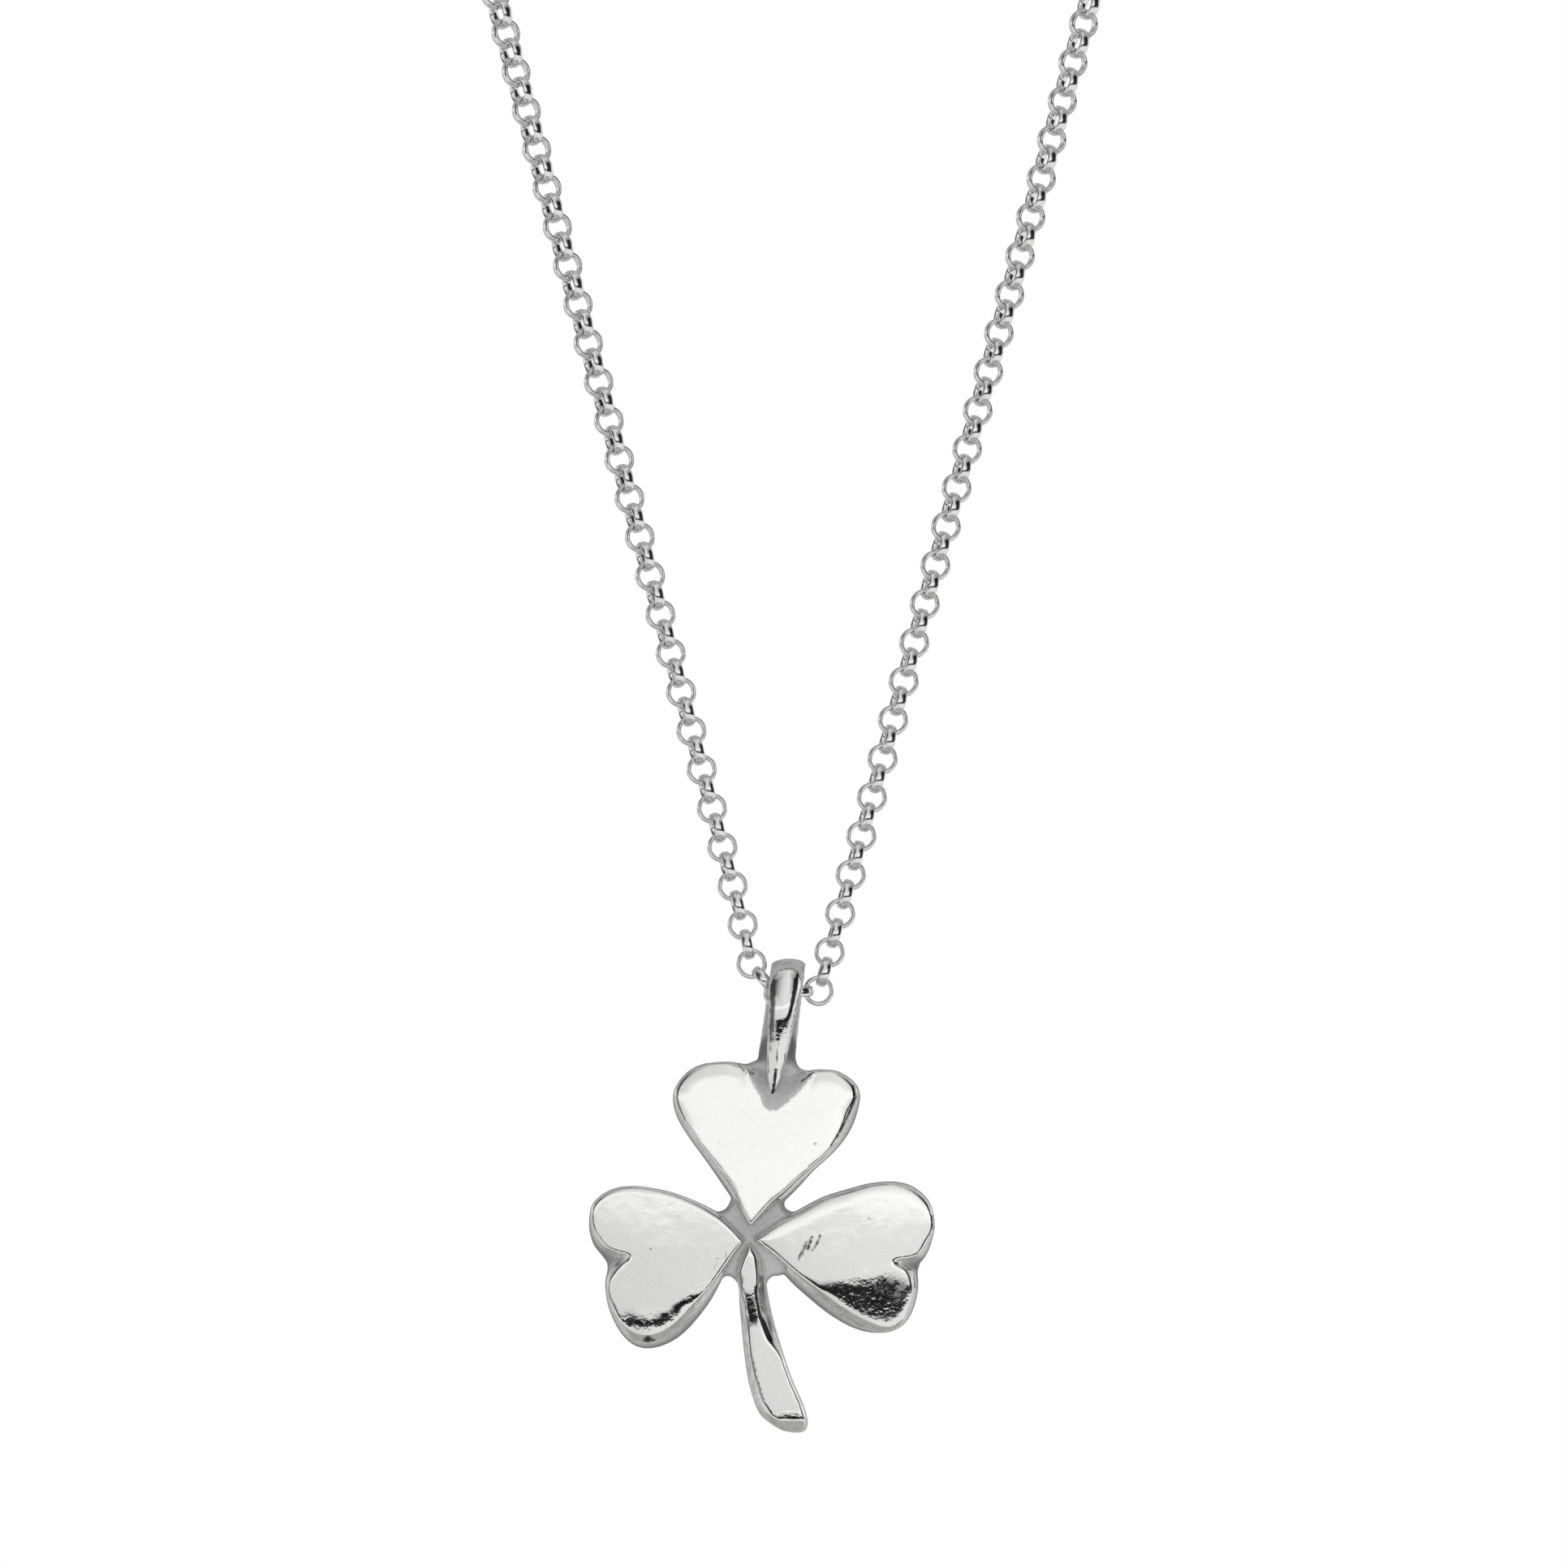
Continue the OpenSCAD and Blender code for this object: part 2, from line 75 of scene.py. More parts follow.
# Bearing from the right in degrees, reach of the crown edge in the CAD model, its reach as cast, and
# 1 at a corner
CROWN_EDGES = {
    "top": [
        (260, 5.85, 5.85, 1), (273, 4.30, 4.35, 0), (287, 3.75, 3.80, 0), (303, 3.42, 3.46, 0),
        (322, 3.45, 3.50, 0), (342, 3.92, 3.97, 0), (358, 4.40, 4.45, 0), (372, 5.00, 5.05, 0),
        (385, 6.00, 6.04, 0), (400, 5.60, 5.74, 0), (412, 4.65, 4.80, 1), (417, 2.60, 2.60, 0),
        (442, 1.50, 1.50, 0), (459, 2.40, 2.40, 0), (468, 4.00, 4.20, 1), (480, 4.80, 4.94, 0),
        (498, 5.80, 5.94, 0), (515, 6.05, 6.20, 0), (527, 5.40, 5.56, 0), (540, 4.55, 4.68, 0),
        (567, 3.65, 3.80, 0), (595, 3.80, 3.92, 0), (612, 4.95, 5.02, 0),
    ],
    "left": [
        (12, 5.22, 5.22, 1), (32, 4.40, 4.50, 0), (58, 3.95, 4.02, 0), (90, 4.05, 4.14, 0),
        (120, 4.90, 4.99, 0), (140, 5.22, 5.34, 0), (155, 4.50, 4.68, 0), (169, 3.40, 3.50, 0),
        (177, 1.95, 1.95, 1), (188, 2.55, 2.60, 0), (205, 3.55, 3.66, 0), (225, 4.20, 4.32, 0),
        (243, 4.80, 4.85, 0), (256, 5.00, 5.00, 0), (270, 4.65, 4.65, 0), (286, 4.00, 4.00, 0),
        (312, 3.42, 3.45, 0), (334, 3.50, 3.55, 0), (362, 4.35, 4.38, 0),
    ],
    "right": [
        (170, 6.65, 6.65, 1), (178, 5.20, 5.25, 0), (194, 4.00, 4.05, 0), (218, 3.25, 3.28, 0),
        (245, 3.25, 3.28, 0), (270, 3.85, 3.85, 0), (290, 4.68, 4.68, 0), (304, 4.65, 4.68, 0),
        (318, 4.10, 4.15, 0), (333, 3.60, 3.68, 0), (347, 2.90, 2.95, 0), (355, 2.05, 2.05, 1),
        (362, 3.40, 3.45, 0), (372, 4.05, 4.12, 0), (384, 4.85, 4.92, 0), (400, 5.30, 5.38, 0),
        (418, 5.15, 5.25, 0), (438, 4.55, 4.64, 0), (460, 4.10, 4.17, 0), (482, 4.20, 4.27, 0),
        (503, 4.65, 4.72, 0), (518, 5.55, 5.60, 0),
    ],
}
# The columns of the two reaches, and the steps of the curve from one row to the next
CAD_REACH = 1
CAST_REACH = 2
CROWN_STEPS = 5
# Height of a leaf's face at its middle, how far it falls in the CAD model at a reach, and that reach
CROWN_DEPTH = 1.1
DOME = 0.1
LEAF_REACH = 5.0
# The rounding of all crown edges, and the width of the soft edge of the upper lobes
EDGE_ROUND = 1.0
EDGE_WIDTH = 0.14
SOFT_WIDTH = 0.85
# Distance in metres below which two points are one
WELD = 0.0000001
# Polishing waves to a millimetre, long and short
LONG_WAVES = 0.35
SHORT_WAVES = 1.6

# A range of two numbers is where a form starts and where it is full, or where it starts to end and
# where it has ended. A range of four numbers is both. On the leaves they are measured from the
# leaf's middle.
# How far the sag's start bulges up, where that is and how wide, and how the sag grows to the right
SAG_BULGE = 0.35
SAG_BULGE_X = 1.5
SAG_BULGE_WIDTH = 0.9
SAG_LEFT_SHARE = 0.6
SAG_GROWS = (-2.6, -1.0)
# How much of the lower lobe's roll ends towards the left, and where
ROLL_LOSS = 0.85
ROLL_ENDS = (1.6, 2.7)
# How the soft edge of the upper lobes starts, and how much of it ends towards the right, and where
SOFT_STARTS = (-1.0, 1.5)
SOFT_LOSS = 0.4
SOFT_ENDS = (-1.0, 1.0)
# The sides of the top leaf's notch, and the heights between which its edge isn't rounded
NOTCH_SIDES = (-1.6, -1.2, 2.4, 3.0)
NOTCH_SHARP = (0.8, 1.4, 2.8, 3.4)

# How far from a leaf's middle its cast form reaches
LEAF_ROOM = 7.5
# Depths of the surface that moves out with a crown edge, and its fade beside the edge and with depth
MOVED_DEPTHS = (0.0, 1.5)
MOVED_BESIDE = (-0.6, -0.3, 0.1, 0.6)
MOVED_FADE = (0.0, 0.5)
# Depth from which a face gets its cast form, its fade inside the crown edge and away from the CAD
# face, and the flank that follows it, outside the edge and with depth
FACE_DEPTH = 0.2
FACE_INSIDE = (0.0, 0.10)
FACE_AWAY = (0.14, 0.30)
FLANK_OUTSIDE = (-0.7, -0.1)
FLANK_DEPTH = (0.3, 0.95)

BAIL_LEAN = math.radians(7.2)
# How far the bail's middle is left of the hang point
BAIL_LEFT = 0.04
# Half the width of the bail's polished tongue and keel, at heights
TONGUE_Z = (-6.6, -5.4, -4.2, -3.0, -1.4, 0.3)
TONGUE_HALF = (0.20, 0.42, 0.52, 0.60, 0.74, 0.93)
# Height where the tongue's rounded top starts, and how tall that top is
TONGUE_ROUND_Z = 0.3
TONGUE_ROUND = 1.18
# How far forward the bail's front starts, and the heights of its tongue
BAIL_FRONT = (1.0, 1.4)
TONGUE_HEIGHTS = (-4.6, -3.2, 0.9, 1.5)
# How much the tongue's right side is rounded, from a share of its half width
TONGUE_ROLL = 0.8
TONGUE_ROLL_FROM = 0.45
# How far the keel is bent back, between which distances below the hang point, and where that ends
# beside the keel and below it
KEEL_BEND = 0.14
KEEL_BEND_RANGE = (0.6, 3.4)
KEEL_BESIDE = (1.5, 2.5)
KEEL_BELOW = (6.3, 7.0)
# The stem's crown as cast: distance below the hang point, height, left edge and right edge
STEM_CROWN = [
    (16.2, 1.095, -2.58, -1.77), (17.2, 1.075, -2.90, -1.63), (18.35, 1.045, -2.76, -1.61),
    (18.8, 1.022, -2.62, -1.56), (20.0, 0.925, -2.44, -1.32), (20.6, 0.896, -2.40, -1.12),
    (21.3, 0.888, -2.34, -0.84), (22.35, 0.884, -2.24, -0.20), (23.95, 0.878, -1.91, 0.36),
    (25.35, 0.873, -1.48, 0.98), (26.1, 0.862, -1.00, 1.22), (26.35, 0.840, -0.68, 1.24),
    (26.65, 0.66, -0.33, 1.27), (27.1, 0.20, 0.15, 1.05),
]
# Width and strength of the roll at the stem's right edge, and how much wider it is at some distance
# below the hang point
STEM_ROLL = 0.26
STEM_CURVE = 1.7
STEM_WIDER = 0.16
STEM_WIDER_BELOW = (17.9, 18.7, 21.2, 22.2)
# Distances below the hang point where the stem's cast form starts and ends, and its fade inside the
# crown's edges and with depth
STEM_BELOW = (15.8, 17.4, 26.9, 27.1)
STEM_INSIDE = (0.0, 0.10)
STEM_DEPTH = (0.05, 0.25)

# The slope in the top leaf's notch: the box that it is in, how deep it is below the face, how much
# deeper upwards, how it falls outside the crown edge, and how far inside that edge it reaches
NOTCH_HEIGHTS = (-7.6, -4.7)
NOTCH_X = -0.6
NOTCH_HALF = 2.4
NOTCH_BACK = -0.2
NOTCH_DEEP = 0.22
NOTCH_DEEPER = 0.6
NOTCH_DEEPENS = (-6.5, -4.9)
NOTCH_FALLS = (-0.1, 1.0)
NOTCH_INSIDE = 0.1
# An inset where no edge is rounded
FLAT_INSET = 1.0
# How the rough notch fades across the crown edge and upwards
NOTCH_ROUGH = (-0.25, 0.45)
NOTCH_ROUGH_TOP = (-5.3, -4.9)

# Small casting marks on the faces: x, z, reach and how dark
MARKS = [
    (1.66, -5.89, 0.09, 0.45), (-0.91, -7.83, 0.06, 0.4), (-4.12, -9.20, 0.07, 0.5),
    (-4.10, -9.47, 0.06, 0.45), (-2.24, -10.28, 0.05, 0.35), (1.09, -10.52, 0.05, 0.35),
    (1.84, -9.28, 0.10, 0.5), (2.22, -9.36, 0.09, 0.5), (-4.73, -7.52, 0.05, 0.3),
    (-8.30, -15.79, 0.08, 0.6), (-10.60, -18.00, 0.06, 0.4), (5.08, -13.96, 0.10, 0.5),
    (5.32, -13.93, 0.06, 0.5), (6.19, -14.45, 0.05, 0.3), (6.70, -17.20, 0.08, 0.5),
    (-2.28, -20.68, 0.09, 0.5), (-8.50, -21.40, 0.26, 0.85), (-8.15, -21.50, 0.18, 0.8),
    (2.30, -13.85, 0.05, 0.3), (-2.90, -7.00, 0.05, 0.3), (0.40, -8.60, 0.05, 0.3),
    (-9.80, -14.60, 0.05, 0.3), (-6.30, -14.90, 0.05, 0.3), (3.90, -15.60, 0.05, 0.3),
    (-2.17, -14.45, 0.11, 0.9), (-2.08, -14.75, 0.08, 0.8),
]
# Short scratches, and dark lines that paint reflection beside the crown edges and shade down the
# bail's keel: x and z of both ends, reach and how dark
SCRATCHES_AND_SHADE_LINES = [
    (-7.50, -13.16, -6.98, -13.02, 0.035, 0.4), (-4.20, -16.35, -4.36, -16.95, 0.06, 0.4),
    (-3.68, -15.95, -3.72, -16.50, 0.05, 0.35), (1.28, -15.35, 1.02, -16.10, 0.10, 0.66),
    (1.62, -15.05, 1.36, -15.80, 0.10, 0.66), (2.12, -14.95, 1.92, -15.50, 0.09, 0.62),
    (1.02, -15.90, 0.80, -16.40, 0.09, 0.6), (1.90, -15.50, 1.66, -15.85, 0.09, 0.62),
    (3.60, -7.00, 3.20, -7.70, 0.04, 0.2), (-1.05, -1.95, -0.60, -2.15, 0.05, 0.3),
    (-0.43, -2.75, -0.60, -4.75, 0.035, 0.7), (-0.60, -4.75, -0.75, -6.10, 0.09, 0.85),
    (-0.72, -5.60, -0.80, -6.20, 0.09, 0.85), (4.15, -5.80, 4.28, -6.50, 0.10, 0.8),
    (4.28, -6.50, 3.88, -7.45, 0.11, 0.8), (3.88, -7.45, 3.40, -8.50, 0.08, 0.75),
    (3.40, -8.50, 2.80, -9.40, 0.06, 0.7), (-2.90, -4.50, -2.40, -5.00, 0.06, 0.7),
    (0.97, -5.50, 1.70, -4.95, 0.06, 0.7), (9.02, -13.70, 9.05, -14.60, 0.05, 0.7),
    (7.92, -17.30, 8.00, -18.20, 0.08, 0.8), (3.60, -20.15, 5.10, -20.85, 0.09, 0.7),
    (-0.95, -16.15, -0.50, -17.05, 0.05, 0.6), (-0.10, -17.25, 0.45, -17.70, 0.06, 0.6),
]
# Gritty patches that the polishing left: x, z, reach across and up
GRIT = [
    (5.50, -18.70, 3.2, 1.9), (-7.90, -20.30, 3.2, 0.9), (-4.90, -18.90, 1.6, 1.2),
    (-2.00, -19.20, 0.9, 1.0), (-0.60, -2.40, 0.9, 1.2), (0.30, -26.20, 1.3, 0.5),
]
# Patches that are less polished than the rest, in the same columns
BLUR = [(6.90, -17.90, 1.7, 1.0), (-2.00, -18.70, 0.9, 0.5), (-8.30, -19.70, 1.6, 0.5)]

# Where the masks of the surface fade: depths in front of the hang point, heights, shares of the
# tongue's half width, and shares of the reach of a mark or a patch
HOLLOW_DEPTH = (0.15, 0.45)
BAIL_HALF = 1.6
BAIL_FOOT = -4.7
KEEL_ROOT_DEPTH = 1.25
KEEL_ROOT = -7.0
TONGUE_EDGE = (0.97, 1.06)
NOTCH_DEPTH = (1.15, 1.4)
KEEL_HEIGHT = (-6.5, -6.3)
KEEL_DEPTH = (0.8, 0.9)
KEEL_EDGE = (0.92, 1.04)
MARK_FADE = (0.5, 1.5)
SCRATCH_AND_SHADE_FADE = (0.4, 1.6)
PATCH_FADE = (0.6, 1.1)
TONGUE_LINE = 0.42
TONGUE_LINE_FOOT = (-3.2, -2.0)
TONGUE_LINE_WIDTH = (0.03, 0.10)
TONGUE_LINE_DEPTH = (1.0, 1.5)
SHOWN_DEPTH = (0.15, 0.4)
# Depths of the side walls, which are unpolished and darkened further with painted shade
SIDE_WALL = (-1.0, -0.7, -0.35, 0.15)
STEEP = (0.55, 0.85)
FLANK_WALL = (0.0, 0.2, 1.1, 1.3)

# Sizes of the silver's surface patterns in metres, from the finest
GRAIN_SIZE = 0.00012
FINE_SIZE = 0.00022
GRITTY_SIZE = 0.00036
STREAK_SIZE = 0.0005
COARSE_SIZE = 0.0009
CLOUD_SIZE = 0.0012
# How ragged the hollows' border is by each pattern
RAGGED_COARSE = 0.3
RAGGED_FINE = 0.6
# How much of the dark silver, which also paints shade on the side walls, shows as specks in the
# hollows, as grain on the faces and as streaks on the flanks
HOLLOW_SPECKS = 0.34
FACE_GRAIN = 0.09
FLANK_STREAKS = 0.35
# How grey the marks and the painted dark lines are, how much the fine pattern takes from them, and how
# strong the rest is
MARK_AND_SHADE_GREY = 0.04
MARK_AND_SHADE_WORN = 0.35
MARK_AND_SHADE_STRENGTH = 1.7
# How much less metallic the frosted hollows are, how much rougher a blurred patch is, and how much
# the faces' roughness varies
FROSTED = 0.6
BLURRED = 0.13
FACE_UNEVEN = 0.06
# The shares of three patterns in the faces' ripples
FINE_HEIGHT = 0.35
GRIT_HEIGHT = 2.8
COARSE_HEIGHT = 0.8
# How metallic the chain looks, how much that varies, how much rougher it is in places, the depth of
# its fine dents in metres and the share of its waves in them
CHAIN_METAL = 0.75
CHAIN_METAL_RANGE = 0.1
CHAIN_ROUGHER = 0.06
CHAIN_DENTS = 0.000004
CHAIN_WAVES = 1.5

# Places near the bail that the chain passes, from the link in the bail outwards, as x and z
LEFT_BEND = [(0.8, 0.0), (-0.43, -0.1), (-1.32, 0.76), (-2.11, 1.74), (-2.70, 4.4)]
RIGHT_BEND = [(0.8, 0.0), (2.03, 0.05), (2.38, 1.22)]
# Distance from the bail and the turn of the links about the chain there, on the left and on the right
TURNS = [(0, 0, 0), (3, 0, 0), (9, 12, 3), (62, 51, 8), (150, 51, 8), (226, 90, 0)]
# The handle of a bend that is a quarter of an oval, as a share of its radius
QUARTER = 0.5523
BEND_STEPS = 24
# Number of the last link on each side before the nape's piece starts
SINGLE_LINKS = 120
# Links up to this number show in front, and have more steps and sides than the plain ones
FINE_LINKS = 53
FINE_SIDES = 16
PLAIN_STEPS = 12
PLAIN_SIDES = 6
# Reach of the bend from the straight strand to the side of the neck, and the slope there
BEND_REACH = 28
SIDE_SLOPE = 0.8
# Side, and distance of the last link from the clasp's middle: in the eye on the left, and on the ring
# on the right
LAST_LINKS = ((-1, 4.55), (1, 2.33))

# The bolt ring, as degrees round it: where the tube starts and how far it runs, and the same for the
# bolt, which is thinner than the tube
TUBE_START = 128
TUBE_RUN = 312
BOLT_START = 76
BOLT_RUN = 56
BOLT_SHARE = 0.62
# How far the middle of the eye's wire is inside the ring's outer edge, as a share of that wire
EYE_SUNK = 0.4
# Its thumb tab, in degrees and millimetres, and the least angle of the edges that are rounded, in
# radians
TAB_TURN = -60
TAB_FOOT = 0.26
TAB_HEAD = 0.3
TAB_HEIGHT = 1.1
TAB_BEVEL = 0.09
TAB_RIM_ANGLE = 0.8

# The stage, with its lengths in metres but the width of the camera's sensor in millimetres
SENSOR_WIDTH = 36.0
CAMERA_X = -0.0001
CAMERA_Z = -0.1172
NEAR_CLIP = 0.01
FAR_CLIP = 10.0
FLOOR_RADIUS = 0.24
FLOOR_CLOUDS = 0.15
FLOOR_ROUGHNESS = 0.8
FLOOR_UNEVEN = 0.1
LAMP_SIZE = 0.5
LAMP_ENERGY = 0.04
LAMP_PLACE = (-0.3, -0.35, 0.55)
LAMP_AIM = (0.0, -0.1, -0.15)

# Degrees in a radian
DEGREES = 57.2958
# What the silver reflects, by elevation and azimuth in degrees, with azimuth 0 behind the camera.
# Dark gaps between the white boards: first and last degree and how soft their edges are, whether the
# gap is on both sides, and how dark it is.
STUDIO_GAPS = [
    {"elevation": (-19.8, -8.5, 1.5), "azimuth": (-26.0, 60.0, 10.0), "both": False, "dark": 0.99},
    {"elevation": (-18.0, 46.0, 6.0), "azimuth": (33.0, 88.0, 8.0), "both": False, "dark": 0.97},
    {"elevation": (-18.0, 46.0, 6.0), "azimuth": (-84.0, -33.0, 8.0), "both": False, "dark": 0.85},
    {"elevation": (22.0, 62.0, 8.0), "azimuth": (20.0, 120.0, 10.0), "both": True, "dark": 0.45},
]
# Light of the boards, and what the right side and the board at eye level add to it
BOARD_LIGHT = 0.72
RIGHT_LIGHT = 0.10
RIGHT_SIDE = (-7.0, 7.0)
EYE_LEVEL_LIGHT = 0.27
EYE_LEVEL_FROM = (0.0, 2.6)
EYE_LEVEL_TO = (4.0, 13.0)
# What is taken from it high up beside the middle, and behind the necklace
HIGH_LOSS = 0.14
HIGH_FROM = (12.0, 24.0)
HIGH_BESIDE = (8.0, 16.0)
BEHIND_LOSS = 0.20
BEHIND = (95.0, 135.0)


def ease(values, low, high):
    """0 below low, 1 above high, and a soft step between"""
    t = np.clip((values - low) / (high - low), 0.0, 1.0)
    return t * t * (3.0 - 2.0 * t)


def within(values, start, full, fading, end):
    """1 from full to fading, 0 before start and after end, and a soft step on both sides"""
    return ease(values, start, full) * (1.0 - ease(values, fading, end))


# Shader maths


class Wire:
    """An output in a node tree, which Python's operators turn into Math nodes"""

    def __init__(self, finish, socket):
        self.finish = finish
        self.socket = socket

    def maths(self, operation, *values):
        return self.finish.node("ShaderNodeMath", {"operation": operation}, dict(enumerate(values)))

    def __add__(self, other):
        return self.maths("ADD", self, other)

    def __radd__(self, other):
        return self.maths("ADD", other, self)

    def __sub__(self, other):
        return self.maths("SUBTRACT", self, other)

    def __rsub__(self, other):
        return self.maths("SUBTRACT", other, self)

    def __mul__(self, other):
        return self.maths("MULTIPLY", self, other)

    def __rmul__(self, other):
        return self.maths("MULTIPLY", other, self)

    def __abs__(self):
        return self.maths("ABSOLUTE", self)

    def step(self, low, high):
        """0 below low, 1 above high, and a soft step between"""
        settings = {"interpolation_type": "SMOOTHSTEP"}
        sockets = {"Value": self, "From Min": low, "From Max": high}
        return self.finish.node("ShaderNodeMapRange", settings, sockets)

    def band(self, low, high, soft):
        """1 between low and high, with soft edges"""
        return self.step(low - soft, low + soft) * (1.0 - self.step(high - soft, high + soft))


class Finish:
    """A node tree, with one method that adds every kind of node"""

    def __init__(self, tree):
        self.tree = tree
        tree.nodes.clear()

    def node(self, kind, settings, sockets, output=0):
        made = self.tree.nodes.new(kind)
        for name, value in settings.items():
            setattr(made, name, value)
        for key, value in sockets.items():
            if isinstance(value, Wire):
                self.tree.links.new(value.socket, made.inputs[key])
            else:
                made.inputs[key].default_value = value
        return Wire(self, made.outputs[output]) if made.outputs else None

    def noise(self, place, size, detail, roughness=0.5):
        """Cloudy pattern of about the given size in metres, from 0 to 1"""
        sockets = {"Vector": place, "Scale": 1.0 / size, "Detail": detail, "Roughness": roughness}
        return self.node("ShaderNodeTexNoise", {"noise_dimensions": "3D"}, sockets)

    def mask(self, name):
        """One of the masks that build_casting stores on its mesh"""
        return self.node("ShaderNodeAttribute", {"attribute_name": name}, {}, 2)

    def mix(self, factor, first, second):
        """A colour between two colours"""
        settings = {"data_type": "RGBA"}
        return self.node("ShaderNodeMix", settings, {0: factor, 6: first, 7: second}, 2)

    def bump(self, height, distance, normal=None):
        """A normal from a height map, whose full range is the given distance"""
        sockets = {"Height": height, "Distance": distance, "Strength": 1.0}
        if normal is not None:
            sockets["Normal"] = normal
        return self.node("ShaderNodeBump", {}, sockets)


def new_finish(name):
    material = bpy.data.materials.new(name)
    material.use_nodes = True
    return material, Finish(material.node_tree)


def polished_metal(finish, base, metallic, roughness, normal):
    sockets = {"Base Color": base, "Metallic": metallic, "Roughness": roughness, "Normal": normal}
    shader = finish.node("ShaderNodeBsdfPrincipled", {}, sockets)
    finish.node("ShaderNodeOutputMaterial", {}, {"Surface": shader})


def grey(value):
    return (value, value, value * 0.995, 1.0)


def cast_silver(settings):
    """Polished casting: bright faces with fine ripples, frosted hollows, side walls darkened with
    painted shade, dark pits and painted dark lines
    """
    material, finish = new_finish("cast_silver")
    place = finish.node("ShaderNodeTexCoord", {}, {}, 3)
    fine = finish.noise(place, FINE_SIZE, detail=3.0, roughness=0.65)
    coarse = finish.noise(place, COARSE_SIZE, detail=2.0)
    grain = finish.noise(place, GRAIN_SIZE, detail=2.0, roughness=0.7)
    gritty = finish.noise(place, GRITTY_SIZE, detail=2.0, roughness=0.6)
    ragged = (coarse - 0.5) * RAGGED_COARSE + (fine - 0.5) * RAGGED_FINE
    dull = (finish.mask("hollow") + ragged).step(0.3, 0.7)
    specks = grain.step(0.25, 0.55) * HOLLOW_SPECKS + (1.0 - HOLLOW_SPECKS)
    dusty = finish.mix(specks, settings.grain_and_shade_silver, settings.hollow_silver)
    faces = finish.mix(grain.step(0.3, 0.7) * FACE_GRAIN, settings.silver, settings.grain_and_shade_silver)
    tone = finish.mix(dull, faces, dusty)
    streaky = finish.noise(place, STREAK_SIZE, detail=3.0, roughness=0.6).step(0.42, 0.62)
    streaks = finish.mask("flank") * streaky * FLANK_STREAKS
    worn = finish.mix(streaks, tone, settings.grain_and_shade_silver)
    # Side walls: unpolished silver, darkened further with painted shade so the silhouettes look dark
    tone_with_shaded_sides = finish.mix(finish.mask("side"), worn, settings.grain_and_shade_silver)
    # Casting marks and scratches, with dark lines painted as reflection beside the crown edges and as
    # shade in the keel
    marked_and_shaded = (finish.mask("mark_and_shade") - fine.step(0.35, 0.65) * MARK_AND_SHADE_WORN) * MARK_AND_SHADE_STRENGTH
    base = finish.mix(marked_and_shaded, tone_with_shaded_sides, grey(MARK_AND_SHADE_GREY))
    uneven = (coarse - 0.5) * FACE_UNEVEN
    roughness = settings.face_roughness + uneven + dull * settings.hollow_roughness
    roughness = roughness + finish.mask("blur") * gritty.step(0.36, 0.60) * BLURRED
    height = fine * FINE_HEIGHT + gritty * finish.mask("grit") * GRIT_HEIGHT + coarse * COARSE_HEIGHT
    ripple = finish.bump(height, settings.ripple)
    relief = finish.bump(grain * dull, settings.grain, ripple)
    polished_metal(finish, base, 1.0 - dull * FROSTED, roughness, relief)
    return material


def chain_silver(settings):
    """Bright drawn silver with a faint cloudy dulling"""
    if "chain_silver" in bpy.data.materials:
        return bpy.data.materials["chain_silver"]
    material, finish = new_finish("chain_silver")
    place = finish.node("ShaderNodeTexCoord", {}, {}, 3)
    cloud = finish.noise(place, CLOUD_SIZE, detail=2.0)
    fine = finish.noise(place, GRAIN_SIZE, detail=2.0)
    base = finish.mix(cloud.step(0.35, 0.75), settings.bright, settings.dull)
    roughness = settings.roughness + cloud.step(0.3, 0.8) * CHAIN_ROUGHER
    relief = finish.bump(fine + cloud * CHAIN_WAVES, CHAIN_DENTS)
    polished_metal(finish, base, CHAIN_METAL + cloud * CHAIN_METAL_RANGE, roughness, relief)
    return material


# The casting


def between(a, b, c, d, b_corner, c_corner, t):
    """A point between b and c on a smooth curve through a, b, c and d, straight out of a corner"""
    span = np.linalg.norm(c - b)
    out = (c - b) if b_corner else (c - a)
    into = (c - b) if c_corner else (d - b)
    out = span * out / np.linalg.norm(out)
    into = span * into / np.linalg.norm(into)
    return (
        (2 * t**3 - 3 * t**2 + 1) * b
        + (t**3 - 2 * t**2 + t) * out
        + (3 * t**2 - 2 * t**3) * c
        + (t**3 - t**2) * into
    )


def crown_edge(name, column):
    """The closed outline of a leaf's crown, round its middle, by the column of its reach"""
    rows = CROWN_EDGES[name]
    bearings = np.radians([row[0] for row in rows])
    reach = np.array([row[column] for row in rows])
    p = np.stack([reach * np.cos(bearings), reach * np.sin(bearings)], axis=1)
    n = len(rows)
    line = []
    for i in range(n):
        after = (i + 1) % n
        corners = (rows[i][3], rows[after][3])
        for k in range(CROWN_STEPS):
            share = k / CROWN_STEPS
            line.append(between(p[i - 1], p[i], p[after], p[(i + 2) % n], *corners, share))
    return np.array(line)


def edge_distance(points, line):
    """Distance from points to a closed outline, positive inside"""
    nearest = np.full(len(points), 1e9)
    crossings = np.zeros(len(points), dtype=int)
    for a, b in zip(line, np.roll(line, -1, axis=0)):
        side = b - a
        offset = points - a
        share = np.clip(offset @ side / (side @ side), 0.0, 1.0)
        gap = np.linalg.norm(offset - share[:, None] * side, axis=1)
        nearest = np.minimum(nearest, gap)
        spans = (a[1] > points[:, 1]) != (b[1] > points[:, 1])
        rise = side[1] if abs(side[1]) > 1e-12 else 1e-12
        crossings += spans & (points[:, 0] < a[0] + side[0] * (points[:, 1] - a[1]) / rise)
    return np.where(crossings % 2 == 1, nearest, -nearest)


def cad_height(leaf, p):
    """Height of a leaf's face in the CAD model, at points measured from the leaf's middle"""
    fall = leaf["fall"] * np.maximum(0.0, -p[:, 1] - LOBE_START)
    dome = DOME * (p**2).sum(axis=1) / LEAF_REACH**2
    slopes = leaf["slope_x"] * p[:, 0] + leaf["slope_z"] * p[:, 1]
    return CROWN_DEPTH + slopes - dome - fall


